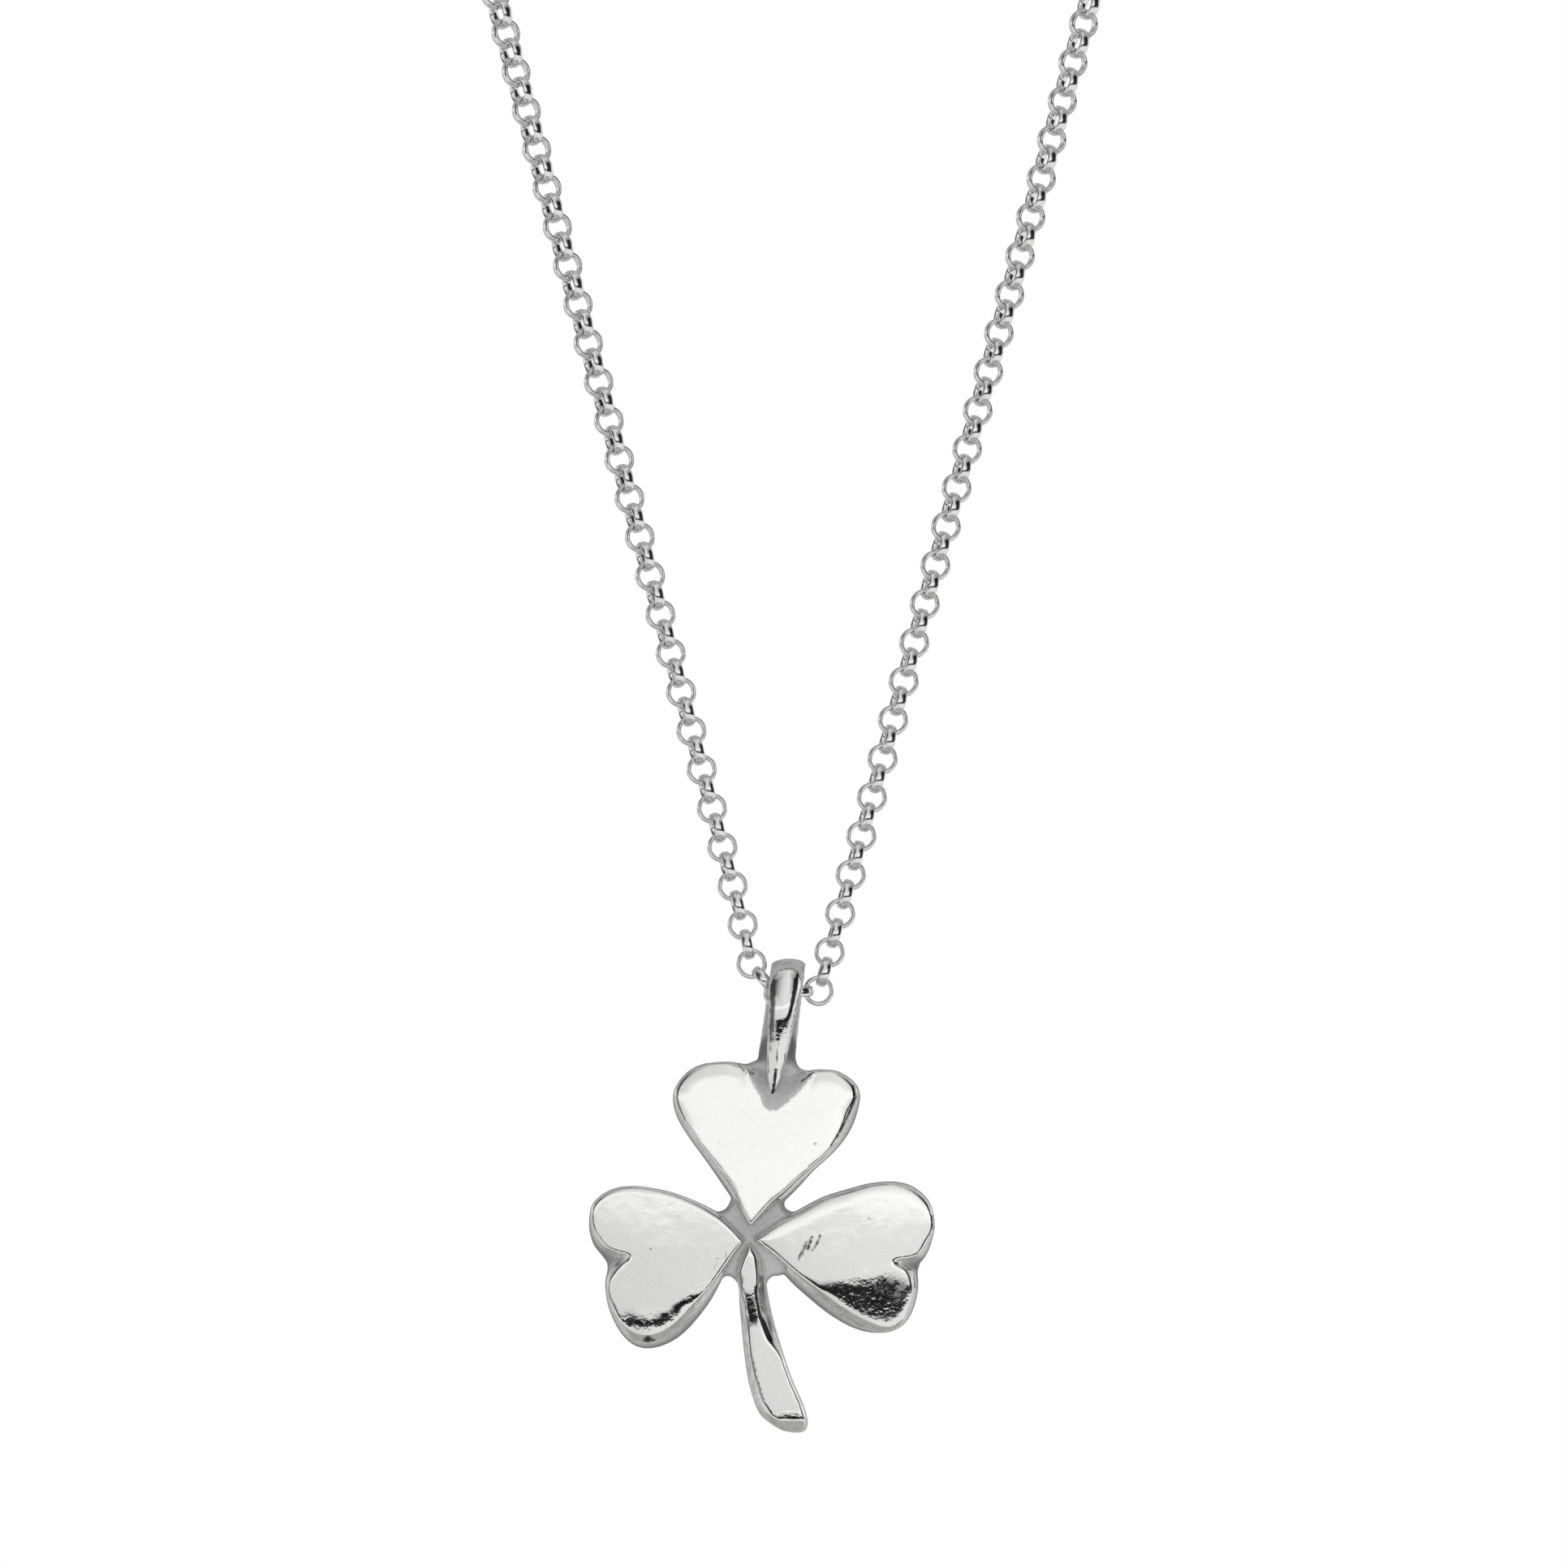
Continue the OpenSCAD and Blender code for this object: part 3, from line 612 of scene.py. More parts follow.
def face_height(leaf, p, inset):
    """Height of a leaf's face as cast, with its sagging lower lobe and softly rolled edge"""
    right, up = p[:, 0], p[:, 1]
    inside = np.maximum(inset, 0.0)
    start = leaf["sag_from"] - SAG_BULGE * np.exp(-(((right - SAG_BULGE_X) / SAG_BULGE_WIDTH) ** 2))
    width = leaf["sag_width"]
    u = np.clip((-up - start) / width, 0.0, 1.0)
    sag = width * (u**3 - u**4 / 2.0) + np.maximum(0.0, -up - start - width)
    sag = sag * (SAG_LEFT_SHARE + (1.0 - SAG_LEFT_SHARE) * ease(right, *SAG_GROWS))
    low = ease(-up, leaf["roll_from"], leaf["roll_full"])
    low = low * (1.0 - ROLL_LOSS * ease(-right, *ROLL_ENDS))
    roll = leaf["roll"] * low * np.maximum(0.0, leaf["roll_width"] - inside) ** 2
    notch = within(right, *NOTCH_SIDES) * (leaf["name"] == "top")
    high = ease(up, *SOFT_STARTS) * (1.0 - notch) * (1.0 - SOFT_LOSS * ease(right, *SOFT_ENDS))
    soft = leaf["soft"] * high * np.maximum(0.0, SOFT_WIDTH - inside) ** 2
    sharp = notch * within(up, *NOTCH_SHARP)
    edge = EDGE_ROUND * (1.0 - sharp) * np.maximum(0.0, EDGE_WIDTH - inside) ** 2
    dome = leaf["dome"] * (p**2).sum(axis=1) / LEAF_REACH**2
    slopes = leaf["slope_x"] * right + (leaf["slope_z"] + leaf["tilt"]) * up
    return CROWN_DEPTH + slopes - dome - leaf["sag"] * sag - roll - soft - edge


def bail_middle(z):
    """Where the middle of the leaning bail is, at a height"""
    return z * math.tan(BAIL_LEAN) - BAIL_LEFT


def shape_bail(x, front, z):
    """Rounds off the right side of the bail's tongue, and bends its keel back"""
    half = np.interp(z, TONGUE_Z, TONGUE_HALF)
    across = (x - bail_middle(z)) / half
    on_bail = ease(front, *BAIL_FRONT) * within(z, *TONGUE_HEIGHTS)
    side = half * TONGUE_ROLL * np.maximum(0.0, across - TONGUE_ROLL_FROM) ** 2
    on_keel = (1.0 - ease(np.abs(across), *KEEL_BESIDE)) * (1.0 - ease(-z, *KEEL_BELOW))
    bent = KEEL_BEND * ease(-z, *KEEL_BEND_RANGE) * on_keel * ease(front, *BAIL_FRONT)
    return front - on_bail * side - bent


def tongue_reach(x, z):
    """1 on the line that bounds the bail's polished tongue, less inside it"""
    half = np.interp(z, TONGUE_Z, TONGUE_HALF)
    over = np.maximum(0.0, z - TONGUE_ROUND_Z) / TONGUE_ROUND
    return np.hypot((x - bail_middle(z)) / half, over)


def shape_stem(x, front, z):
    """Gives the stem's crown its cast form, with its shallow dip and its right edge rolled over"""
    below, level, left, right = (np.array(column) for column in zip(*STEM_CROWN))
    from_left = x - np.interp(-z, below, left)
    from_right = np.interp(-z, below, right) - x
    inset = np.minimum(from_left, from_right)
    wide = STEM_ROLL + STEM_WIDER * within(-z, *STEM_WIDER_BELOW)
    roll = STEM_CURVE * np.maximum(0.0, wide - np.maximum(from_right, 0.0)) ** 2
    edge = EDGE_ROUND * np.maximum(0.0, EDGE_WIDTH - np.maximum(from_left, 0.0)) ** 2
    cast = np.interp(-z, below, level) - roll - edge
    on_stem = ease(inset, *STEM_INSIDE) * ease(front, *STEM_DEPTH) * within(-z, *STEM_BELOW)
    return front + on_stem * (cast - front)


def fill_notch(x, front, z):
    """The rough slope between the top leaf's face and the floor of its notch, and its mask"""
    leaf = LEAVES[0]
    p = np.stack([x - leaf["x"], z - leaf["z"]], axis=1)
    level = (z > NOTCH_HEIGHTS[0]) & (z < NOTCH_HEIGHTS[1])
    near = np.flatnonzero(level & (front > NOTCH_BACK) & (np.abs(x - NOTCH_X) < NOTCH_HALF))
    inset = edge_distance(p[near], crown_edge(leaf["name"], CAST_REACH))
    deep = NOTCH_DEEP + NOTCH_DEEPER * ease(z[near], *NOTCH_DEEPENS)
    face = face_height(leaf, p[near], np.maximum(inset, FLAT_INSET))
    slope = face - deep * ease(-inset, *NOTCH_FALLS)
    filled = front.copy()
    filled[near] = np.where(inset < NOTCH_INSIDE, np.maximum(front[near], slope), front[near])
    notch = np.zeros(len(x))
    notch[near] = (1.0 - ease(inset, *NOTCH_ROUGH)) * (1.0 - ease(z[near], *NOTCH_ROUGH_TOP))
    return filled, notch


def spread_crowns(x, front, z):
    """Moves the crown edges and the flanks beside them out to where they are as cast"""
    for leaf in LEAVES:
        p = np.stack([x - leaf["x"], z - leaf["z"]], axis=1)
        level = (front > MOVED_DEPTHS[0]) & (front < MOVED_DEPTHS[1])
        near = np.flatnonzero((np.linalg.norm(p, axis=1) < LEAF_ROOM) & level)
        p = p[near]
        inset = edge_distance(p, crown_edge(leaf["name"], CAD_REACH))
        rows = CROWN_EDGES[leaf["name"]]
        bearing = np.degrees(np.arctan2(p[:, 1], p[:, 0]))
        turns = np.ceil((rows[0][0] - bearing) / 360.0)
        out = [row[CAST_REACH] - row[CAD_REACH] for row in rows]
        bearings = [row[0] for row in rows]
        by = np.interp(bearing + 360.0 * turns, bearings + [bearings[0] + 360.0], out + [out[0]])
        by = by * within(inset, *MOVED_BESIDE) * ease(front[near], *MOVED_FADE)
        reach = np.linalg.norm(p, axis=1)
        x[near] += by * p[:, 0] / reach
        z[near] += by * p[:, 1] / reach


def shape_faces(x, front, z):
    """Gives each leaf's face its cast form, and takes the crown edge and flank with it"""
    for leaf in LEAVES:
        p = np.stack([x - leaf["x"], z - leaf["z"]], axis=1)
        near = np.flatnonzero((np.linalg.norm(p, axis=1) < LEAF_ROOM) & (front > FACE_DEPTH))
        p = p[near]
        level = front[near]
        inset = edge_distance(p, crown_edge(leaf["name"], CAST_REACH))
        cad = cad_height(leaf, p)
        cast = face_height(leaf, p, inset)
        on_face = ease(inset, *FACE_INSIDE) * (1.0 - ease(np.abs(level - cad), *FACE_AWAY))
        beside = ease(inset, *FLANK_OUTSIDE) * ease(level, *FLANK_DEPTH)
        front[near] = level + on_face * (cast - level) + (1.0 - on_face) * beside * (cast - cad)
    return front


def build_casting(settings):
    """A fine even mesh over the CAD pendant, with the casting's own surface"""
    bm = bmesh.new()
    bm.from_mesh(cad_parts["pendant"].data)
    bmesh.ops.remove_doubles(bm, verts=bm.verts, dist=WELD)
    to_table = Matrix.Scale(1.0 / MM, 4) @ Matrix.Translation(-Vector(HANG * MM))
    bmesh.ops.transform(bm, matrix=to_table, verts=bm.verts)
    mesh = bpy.data.meshes.new("casting_skin")
    bm.to_mesh(mesh)
    skin = bpy.data.objects.new("casting_skin", mesh)
    bpy.context.scene.collection.objects.link(skin)
    remesh = skin.modifiers.new("Even squares", "REMESH")
    remesh.mode = "VOXEL"
    remesh.voxel_size = settings.square
    graph = bpy.context.evaluated_depsgraph_get()
    even = bpy.data.meshes.new_from_object(skin.evaluated_get(graph))
    bpy.data.objects.remove(skin)
    bm.clear()
    bm.from_mesh(even)
    relax(bm, 4)
    points = np.array([v.co for v in bm.verts])
    x, front, z = points[:, 0], -points[:, 1], points[:, 2]
    spread_crowns(x, front, z)
    front = shape_faces(x, front, z)
    front = shape_bail(x, front, z)
    front = shape_stem(x, front, z)
    front, notch = fill_notch(x, front, z)
    for vert, place in zip(bm.verts, np.stack([x, -front, z], axis=1)):
        vert.co = place
    relax(bm, 3)
    ripple(bm, settings)
    bm.normal_update()
    masks = surface_masks(bm, notch)
    bmesh.ops.transform(bm, matrix=to_table.inverted(), verts=bm.verts)
    piece = finished_piece("shamrock_casting", bm, cast_silver(settings))
    for name, values in masks.items():
        layer = piece.data.attributes.new(name, "FLOAT", "POINT")
        layer.data.foreach_set("value", values.astype(np.float32))
    return piece


def relax(bm, times):
    for _ in range(times):
        bmesh.ops.smooth_vert(
            bm, verts=bm.verts, factor=0.5, use_axis_x=True, use_axis_y=True, use_axis_z=True
        )


def ripple(bm, settings):
    """The uneven surface left by hand polishing: long waves and small ones"""
    bm.normal_update()
    for vert in bm.verts:
        long_wave = settings.long_wave * noise.noise(vert.co * LONG_WAVES)
        short_wave = settings.short_wave * noise.noise(vert.co * SHORT_WAVES)
        vert.co += vert.normal * (long_wave + short_wave)


def segment_distance(points, ends):
    """Distance of points from a short line between two ends"""
    a = np.array(ends[:2])
    side = np.array(ends[2:]) - a
    share = np.clip((points - a) @ side / max(side @ side, 1e-9), 0.0, 1.0)
    return np.linalg.norm(points - a - share[:, None] * side, axis=1)


def patches(flat, rows):
    """1 in the middle of each oval patch, and 0 outside all of them"""
    inside = np.zeros(len(flat))
    for patch_x, patch_z, across, up in rows:
        away = (flat - np.array([patch_x, patch_z])) / np.array([across, up])
        gap = np.linalg.norm(away, axis=1)
        inside = np.maximum(inside, 1.0 - ease(gap, *PATCH_FADE))
    return inside


def surface_masks(bm, notch):
    """Masks of the hollows, the side walls painted with shade, and flanks, and of the marked places
    with their painted dark lines, gritty and blurred places
    """
    points = np.array([v.co for v in bm.verts])
    x, front, z = points[:, 0], -points[:, 1], points[:, 2]
    flat = points[:, [0, 2]]
    hollow = 1.0 - ease(front, *HOLLOW_DEPTH)
    root = (front > KEEL_ROOT_DEPTH) & (z > KEEL_ROOT)
    on_bail = (np.abs(x - bail_middle(z)) < BAIL_HALF) & ((z > BAIL_FOOT) | root)
    hollow = np.maximum(hollow, on_bail * ease(tongue_reach(x, z), *TONGUE_EDGE))
    hollow = np.maximum(hollow, notch * (1.0 - ease(front, *NOTCH_DEPTH)))
    keel = (z < 0.0) * ease(z, *KEEL_HEIGHT) * ease(front, *KEEL_DEPTH)
    hollow = hollow * (1.0 - keel * (1.0 - ease(tongue_reach(x, z), *KEEL_EDGE)))
    # Marks and scratches, and dark lines painted as reflection beside the crown edges and as shade down
    # the keel
    mark_and_shade = np.zeros(len(points))
    # A mark is a scratch whose two ends are at one place
    dots = [(*row[:2], *row, MARK_FADE) for row in MARKS]
    lines = [(*row, SCRATCH_AND_SHADE_FADE) for row in SCRATCHES_AND_SHADE_LINES]
    for *ends, reach, dark, fade in dots + lines:
        gap = segment_distance(flat, ends) / reach
        mark_and_shade = np.maximum(mark_and_shade, dark * (1.0 - ease(gap, *fade)))
    rim = np.abs(tongue_reach(x, z) - 1.0) * np.interp(z, TONGUE_Z, TONGUE_HALF)
    line = ease(z, *TONGUE_LINE_FOOT) * (1.0 - ease(rim, *TONGUE_LINE_WIDTH))
    line = line * ease(front, *TONGUE_LINE_DEPTH)
    mark_and_shade = np.maximum(mark_and_shade, line * TONGUE_LINE)
    shown = ease(front, *SHOWN_DEPTH)
    steep = 1.0 - ease(np.array([-v.normal.y for v in bm.verts]), *STEEP)
    return {
        "hollow": hollow,
        # Side walls, whose colour is darkened with painted shade
        "side": within(front, *SIDE_WALL),
        "flank": steep * within(front, *FLANK_WALL),
        "mark_and_shade": mark_and_shade * shown,
        "grit": patches(flat, GRIT) * shown,
        "blur": patches(flat, BLUR) * shown,
    }


# The chain


def unit(v):
    return v / max(np.linalg.norm(v), 1e-9)


def bend(p, p_handle, q, q_handle):
    """A smooth bend between two points, with a handle at each end"""
    t = np.arange(1, BEND_STEPS + 1)[:, None] / BEND_STEPS
    s = 1.0 - t
    return s**3 * p + 3 * s**2 * t * (p + p_handle) + 3 * s * t**2 * (q + q_handle) + t**3 * q


class Strand:
    """The line of the chain from the bail to the nape on one side: -1 left, 1 right"""

    def __init__(self, settings, side):
        self.settings = settings
        self.side = side
        places = LEFT_BEND if side < 0 else RIGHT_BEND
        lean = settings.left_lean if side < 0 else settings.right_lean
        start = np.array([HANG + np.array([x, 0.0, z]) for x, z in places])
        up = np.array([side * math.sin(lean), 0.0, math.cos(lean)])
        rise = HANG[2] + settings.strand_height / MM - start[-1][2]
        top = start[-1] + up * rise / math.cos(lean)
        width = settings.neck_width / MM
        drop = settings.side_drop / MM
        beside = np.array([side * width / 2, -NECK_DEPTH / 2, -drop])
        back = unit(np.array([0.0, NECK_DEPTH / 2, drop * SIDE_SLOPE]))
        nape_handle = np.array([side * QUARTER * width / 2, 0.0, 0.0])
        first = bend(top, BEND_REACH * up, beside, -BEND_REACH * back)
        second = bend(beside, QUARTER * NECK_DEPTH / 2 * back, np.zeros(3), nape_handle)
        self.line = np.concatenate([start, [top], first, second])
        spans = np.linalg.norm(np.diff(self.line, axis=0), axis=1)
        self.run = np.concatenate([[0.0], np.cumsum(spans)])

    @property
    def length(self):
        return self.run[-1]

    def point(self, distance):
        return np.array([np.interp(distance, self.run, self.line[:, axis]) for axis in range(3)])

    def frame(self, distance, other):
        """Place on the chain, its direction to the nape, and two directions across it"""
        half = self.settings.pitch / MM / 2
        p = self.point(distance)
        before = other.point(half - distance) if distance < half else self.point(distance - half)
        up = unit(self.point(distance + half) - before)
        inward = unit(np.array([0.0, -NECK_DEPTH / 2, p[2]]) - p)
        a = unit(inward - (inward @ up) * up)
        b = np.cross(up, a)
        column = 1 if self.side < 0 else 2
        turn = np.interp(distance, [row[0] for row in TURNS], [row[column] for row in TURNS])
        c, s = math.cos(math.radians(turn)), math.sin(math.radians(turn))
        return p, up, c * a + s * b, c * b - s * a


def link_mesh(settings, steps, sides):
    """One belcher link about the Z axis: a band that is flatter inside and rounded outside"""
    bm = bmesh.new()
    inner = settings.link_size / 2 - settings.band_thickness
    section = []
    for k in range(sides):
        angle = math.tau * k / sides
        across = (1 + math.cos(angle)) / 2
        reach = inner + settings.band_thickness * across
        section.append(bm.verts.new((reach, 0.0, settings.band_width / 2 * math.sin(angle))))
    edges = [bm.edges.new((section[k], section[(k + 1) % sides])) for k in range(sides)]
    bmesh.ops.spin(
        bm, geom=section + edges, cent=(0, 0, 0), axis=(0, 0, 1), dvec=(0, 0, 0),
        angle=math.tau, steps=steps, use_merge=True, use_duplicate=False,
    )
    bmesh.ops.remove_doubles(bm, verts=bm.verts, dist=WELD)
    bmesh.ops.recalc_face_normals(bm, faces=bm.faces)
    mesh = bpy.data.meshes.new("link")
    bm.to_mesh(mesh)
    bm.free()
    return mesh


def add_link(bm, mesh, place, axis, up):
    third = np.cross(axis, up)
    turn = Matrix([list(row) for row in np.stack([up, third, axis], axis=1)]).to_4x4()
    copy = mesh.copy()
    copy.transform(Matrix.Translation(Vector(place * MM)) @ turn)
    bm.from_mesh(copy)
    bpy.data.meshes.remove(copy)


def chain_piece(name, settings, finish, list_links):
    """One piece of linked rings, from a function that lists their sides, distances and numbers"""
    strands = {-1: Strand(settings, -1), 1: Strand(settings, 1)}
    fine = link_mesh(settings, settings.fine_steps, FINE_SIDES)
    plain = link_mesh(settings, PLAIN_STEPS, PLAIN_SIDES)
    bm = bmesh.new()
    for side, distance, number in list_links(strands):
        place, up, a, b = strands[side].frame(distance, strands[-side])
        axis = b if number % 2 == 0 else a
        add_link(bm, fine if abs(number) <= FINE_LINKS else plain, place, axis, up)
    return finished_piece(name, bm, finish)


def finished_piece(name, bm, material):
    mesh = bpy.data.meshes.new(name)
    for face in bm.faces:
        face.smooth = True
    bm.to_mesh(mesh)
    bm.free()
    piece = bpy.data.objects.new(name, mesh)
    piece.data.materials.append(material)
    bpy.context.scene.collection.objects.link(piece)
    return piece


def hang_on(piece, body, node):
    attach(piece, body)
    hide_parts(node)


# Sizes and colours


class CastingSettings(bpy.types.PropertyGroup):
    square: bpy.props.FloatProperty(
        name="Mesh square", description="Size of the casting's mesh squares in millimetres",
        default=0.096, min=0.09, max=0.3)
    long_wave: bpy.props.FloatProperty(
        name="Long waves", description="Height of the long polishing waves in millimetres",
        default=0.012, min=0.0, max=0.05)
    short_wave: bpy.props.FloatProperty(
        name="Short waves", description="Height of the short polishing waves in millimetres",
        default=0.0025, min=0.0, max=0.01)
    silver: bpy.props.FloatVectorProperty(
        name="Silver", description="Colour of the polished faces", subtype="COLOR", size=4,
        default=(0.93, 0.93, 0.925, 1.0), min=0.0, max=1.0)
    hollow_silver: bpy.props.FloatVectorProperty(
        name="Hollow silver", description="Colour of the dull hollows", subtype="COLOR", size=4,
        default=(0.93, 0.93, 0.93, 1.0), min=0.0, max=1.0)
    # Dark silver of the unpolished side walls, where it also paints shade, and of the grain specks and
    # flank streaks
    grain_and_shade_silver: bpy.props.FloatVectorProperty(
        name="Side silver", description="Colour of the unpolished side walls", subtype="COLOR",
        size=4, default=(0.36, 0.36, 0.36, 1.0), min=0.0, max=1.0)
    face_roughness: bpy.props.FloatProperty(
        name="Face roughness", description="Roughness of the polished faces",
        subtype="FACTOR", default=0.08, min=0.0, max=1.0)
    hollow_roughness: bpy.props.FloatProperty(
        name="Hollow roughness", description="Roughness that the dull hollows add",
        subtype="FACTOR", default=0.44, min=0.0, max=1.0)
    ripple: bpy.props.FloatProperty(
        name="Ripple", description="Depth of the fine ripples on the faces", subtype="DISTANCE",
        default=0.000006, min=0.0, max=0.0001, precision=6)
    grain: bpy.props.FloatProperty(
        name="Grain", description="Depth of the cast grain in the hollows", subtype="DISTANCE",
        default=0.000012, min=0.0, max=0.0001, precision=6)


class ChainSettings(bpy.types.PropertyGroup):
    link_size: bpy.props.FloatProperty(
        name="Link size", description="Outer diameter of a link", subtype="DISTANCE",
        default=1.9 * MM, precision=5)
    band_thickness: bpy.props.FloatProperty(
        name="Band thickness", description="Thickness of a link's band", subtype="DISTANCE",
        default=0.29 * MM, precision=5)
    band_width: bpy.props.FloatProperty(
        name="Band width", description="Width of a link's band", subtype="DISTANCE",
        default=0.64 * MM, precision=5)
    pitch: bpy.props.FloatProperty(
        name="Pitch", description="Distance from link to link", subtype="DISTANCE",
        default=1.235 * MM, precision=6)
    left_lean: bpy.props.FloatProperty(
        name="Left lean", description="Lean of the left strand from upright", subtype="ANGLE",
        default=math.radians(14.9))
    right_lean: bpy.props.FloatProperty(
        name="Right lean", description="Lean of the right strand from upright", subtype="ANGLE",
        default=math.radians(15.3))
    strand_height: bpy.props.FloatProperty(
        name="Strand height", description="Height of the straight strands", subtype="DISTANCE",
        default=62 * MM, precision=4)
    neck_width: bpy.props.FloatProperty(
        name="Neck width", description="Width of the loop at the neck", subtype="DISTANCE",
        default=100 * MM, precision=4)
    side_drop: bpy.props.FloatProperty(
        name="Side drop", description="Height of the nape above the sides", subtype="DISTANCE",
        default=20 * MM, precision=4)
    fine_steps: bpy.props.IntProperty(
        name="Fine steps", description="Steps round a link that the front view shows",
        default=32, min=12, max=40)
    roughness: bpy.props.FloatProperty(
        name="Roughness", description="Roughness of the polished links", subtype="FACTOR",
        default=0.11, min=0.0, max=1.0)
    bright: bpy.props.FloatVectorProperty(
        name="Bright silver", description="Colour of the polished links", subtype="COLOR", size=4,
        default=(0.98, 0.98, 0.98, 1.0), min=0.0, max=1.0)
    dull: bpy.props.FloatVectorProperty(
        name="Dull silver", description="Colour where a link is dulled", subtype="COLOR", size=4,
        default=(0.92, 0.92, 0.92, 1.0), min=0.0, max=1.0)


class ClaspSettings(bpy.types.PropertyGroup):
    size: bpy.props.FloatProperty(
        name="Size", description="Outer diameter of the bolt ring", subtype="DISTANCE",
        default=5.5 * MM, precision=5)
    wire: bpy.props.FloatProperty(
        name="Tube", description="Thickness of the bolt ring's tube", subtype="DISTANCE",
        default=1.0 * MM, precision=5)
    eye_size: bpy.props.FloatProperty(
        name="Eye", description="Outer diameter of the eye", subtype="DISTANCE",
        default=2.4 * MM, precision=5)
    eye_wire: bpy.props.FloatProperty(
        name="Eye wire", description="Thickness of the eye's wire", subtype="DISTANCE",
        default=0.5 * MM, precision=5)


class StageSettings(bpy.types.PropertyGroup):
    lens: bpy.props.FloatProperty(
        name="Lens", description="Focal length in millimetres", default=200.0)
    frame_width: bpy.props.FloatProperty(
        name="Frame width", description="Width of the view at the pendant", subtype="DISTANCE",
        default=96.6 * MM, precision=5)
    floor_depth: bpy.props.FloatProperty(
        name="Floor depth", description="Depth of the floor below the nape", subtype="DISTANCE",
        default=0.36, precision=3)
    floor_colour: bpy.props.FloatVectorProperty(
        name="Floor", description="Colour of the floor", subtype="COLOR", size=4,
        default=(0.95, 0.95, 0.94, 1.0), min=0.0, max=1.0)


# Operators


class OBJECT_OT_shamrock_casting(bpy.types.Operator):
    """Makes the cast pendant: three leaves, web, stem and bail in one"""

    bl_idname = "object.shamrock_casting"
    bl_label = "Shamrock casting"

    def execute(self, context):
        piece = build_casting(context.scene.shamrock_casting)
        hang_on(piece, "pendant", "pendant")
        return {"FINISHED"}


class OBJECT_OT_belcher_chain(bpy.types.Operator):
    """Makes the chain's two halves and the stretch round the nape from linked rings"""

    bl_idname = "object.belcher_chain"
    bl_label = "Belcher chain"

    def execute(self, context):
        settings = context.scene.belcher_chain
        finish = chain_silver(settings)
        pitch = settings.pitch / MM

        def half(side):
            first = 1 if side < 0 else 0
            return lambda strands: [(side, i * pitch, side * i) for i in range(first, SINGLE_LINKS + 1)]

        def nape(strands):
            rows = []
            for side, end in LAST_LINKS:
                start = SINGLE_LINKS * pitch
                stop = strands[side].length - end
                count = math.ceil((stop - start) / pitch)
                # The last link lies across the eye or the ring that holds it
                count += (SINGLE_LINKS + count + (1 if side < 0 else 0)) % 2
                for k in range(1, count + 1):
                    distance = start + (stop - start) * k / count
                    rows.append((side, distance, side * (SINGLE_LINKS + k)))
            return rows

        for name, node, list_links in (
            ("belcher_links_left", "chain_left", half(-1)),
            ("belcher_links_right", "chain_right", half(1)),
            ("belcher_links_nape", "chain_nape", nape),
        ):
            piece = chain_piece(name, settings, finish, list_links)
            hang_on(piece, "necklace", node)
        return {"FINISHED"}


def torus(bm, middle, ring, wire, start, sweep, steps, sides):
    """A round wire bent about the Y axis through middle, closed if it sweeps a full turn"""
    full = abs(sweep - math.tau) < 1e-6
    made = bmesh.ops.create_circle(bm, cap_ends=not full, segments=sides, radius=wire)["verts"]
    place = (
        Matrix.Translation(middle)
        @ Matrix.Rotation(-start, 4, "Y")
        @ Matrix.Translation((ring, 0, 0))
    )
    bmesh.ops.transform(bm, matrix=place, verts=made)
    edges = list(dict.fromkeys(e for v in made for e in v.link_edges))
    faces = list(dict.fromkeys(f for v in made for f in v.link_faces))
    bmesh.ops.spin(
        bm, geom=made + edges + faces, cent=middle, axis=(0, -1, 0), dvec=(0, 0, 0),
        angle=sweep, steps=steps, use_merge=full, use_duplicate=False,
    )


class OBJECT_OT_bolt_ring(bpy.types.Operator):
    """Makes the bolt ring that closes the chain at the nape"""

    bl_idname = "object.bolt_ring"
    bl_label = "Bolt ring"

    def execute(self, context):
        settings = context.scene.bolt_ring
        ring = (settings.size - settings.wire) / 2
        eye = (settings.eye_size - settings.eye_wire) / 2
        wire = settings.wire / 2
        bm = bmesh.new()
        middle = (0.0, 0.0, 0.0)
        turns = [math.radians(turn) for turn in (TUBE_START, TUBE_RUN, BOLT_START, BOLT_RUN)]
        torus(bm, middle, ring, wire, *turns[:2], steps=60, sides=20)
        torus(bm, middle, ring, wire * BOLT_SHARE, *turns[2:], steps=12, sides=14)
        eye_x = -settings.size / 2 - eye + settings.eye_wire * EYE_SUNK
        eye_wire = settings.eye_wire / 2
        torus(bm, (eye_x, 0.0, 0.0), eye, eye_wire, 0.0, math.tau, steps=36, sides=12)
        tab = bmesh.ops.create_cone(
            bm, cap_ends=True, segments=20, radius1=TAB_FOOT * MM, radius2=TAB_HEAD * MM,
            depth=TAB_HEIGHT * MM,
        )["verts"]
        place = (
            Matrix.Rotation(math.radians(TAB_TURN), 4, "Y")
            @ Matrix.Translation((ring + TAB_HEIGHT / 2 * MM, 0, 0))
            @ Matrix.Rotation(math.radians(90), 4, "Y")
        )
        bmesh.ops.transform(bm, matrix=place, verts=tab)
        edges = dict.fromkeys(e for v in tab for e in v.link_edges)
        rim = [e for e in edges if len(e.link_faces) == 2 and e.calc_face_angle(0.0) > TAB_RIM_ANGLE]
        bmesh.ops.bevel(
            bm, geom=rim, offset=TAB_BEVEL * MM, segments=3, profile=0.5, affect="EDGES", material=-1
        )
        bmesh.ops.recalc_face_normals(bm, faces=bm.faces)
        finish = chain_silver(context.scene.belcher_chain)
        piece = finished_piece("bolt_ring", bm, finish)
        hang_on(piece, "necklace", "clasp")
        return {"FINISHED"}


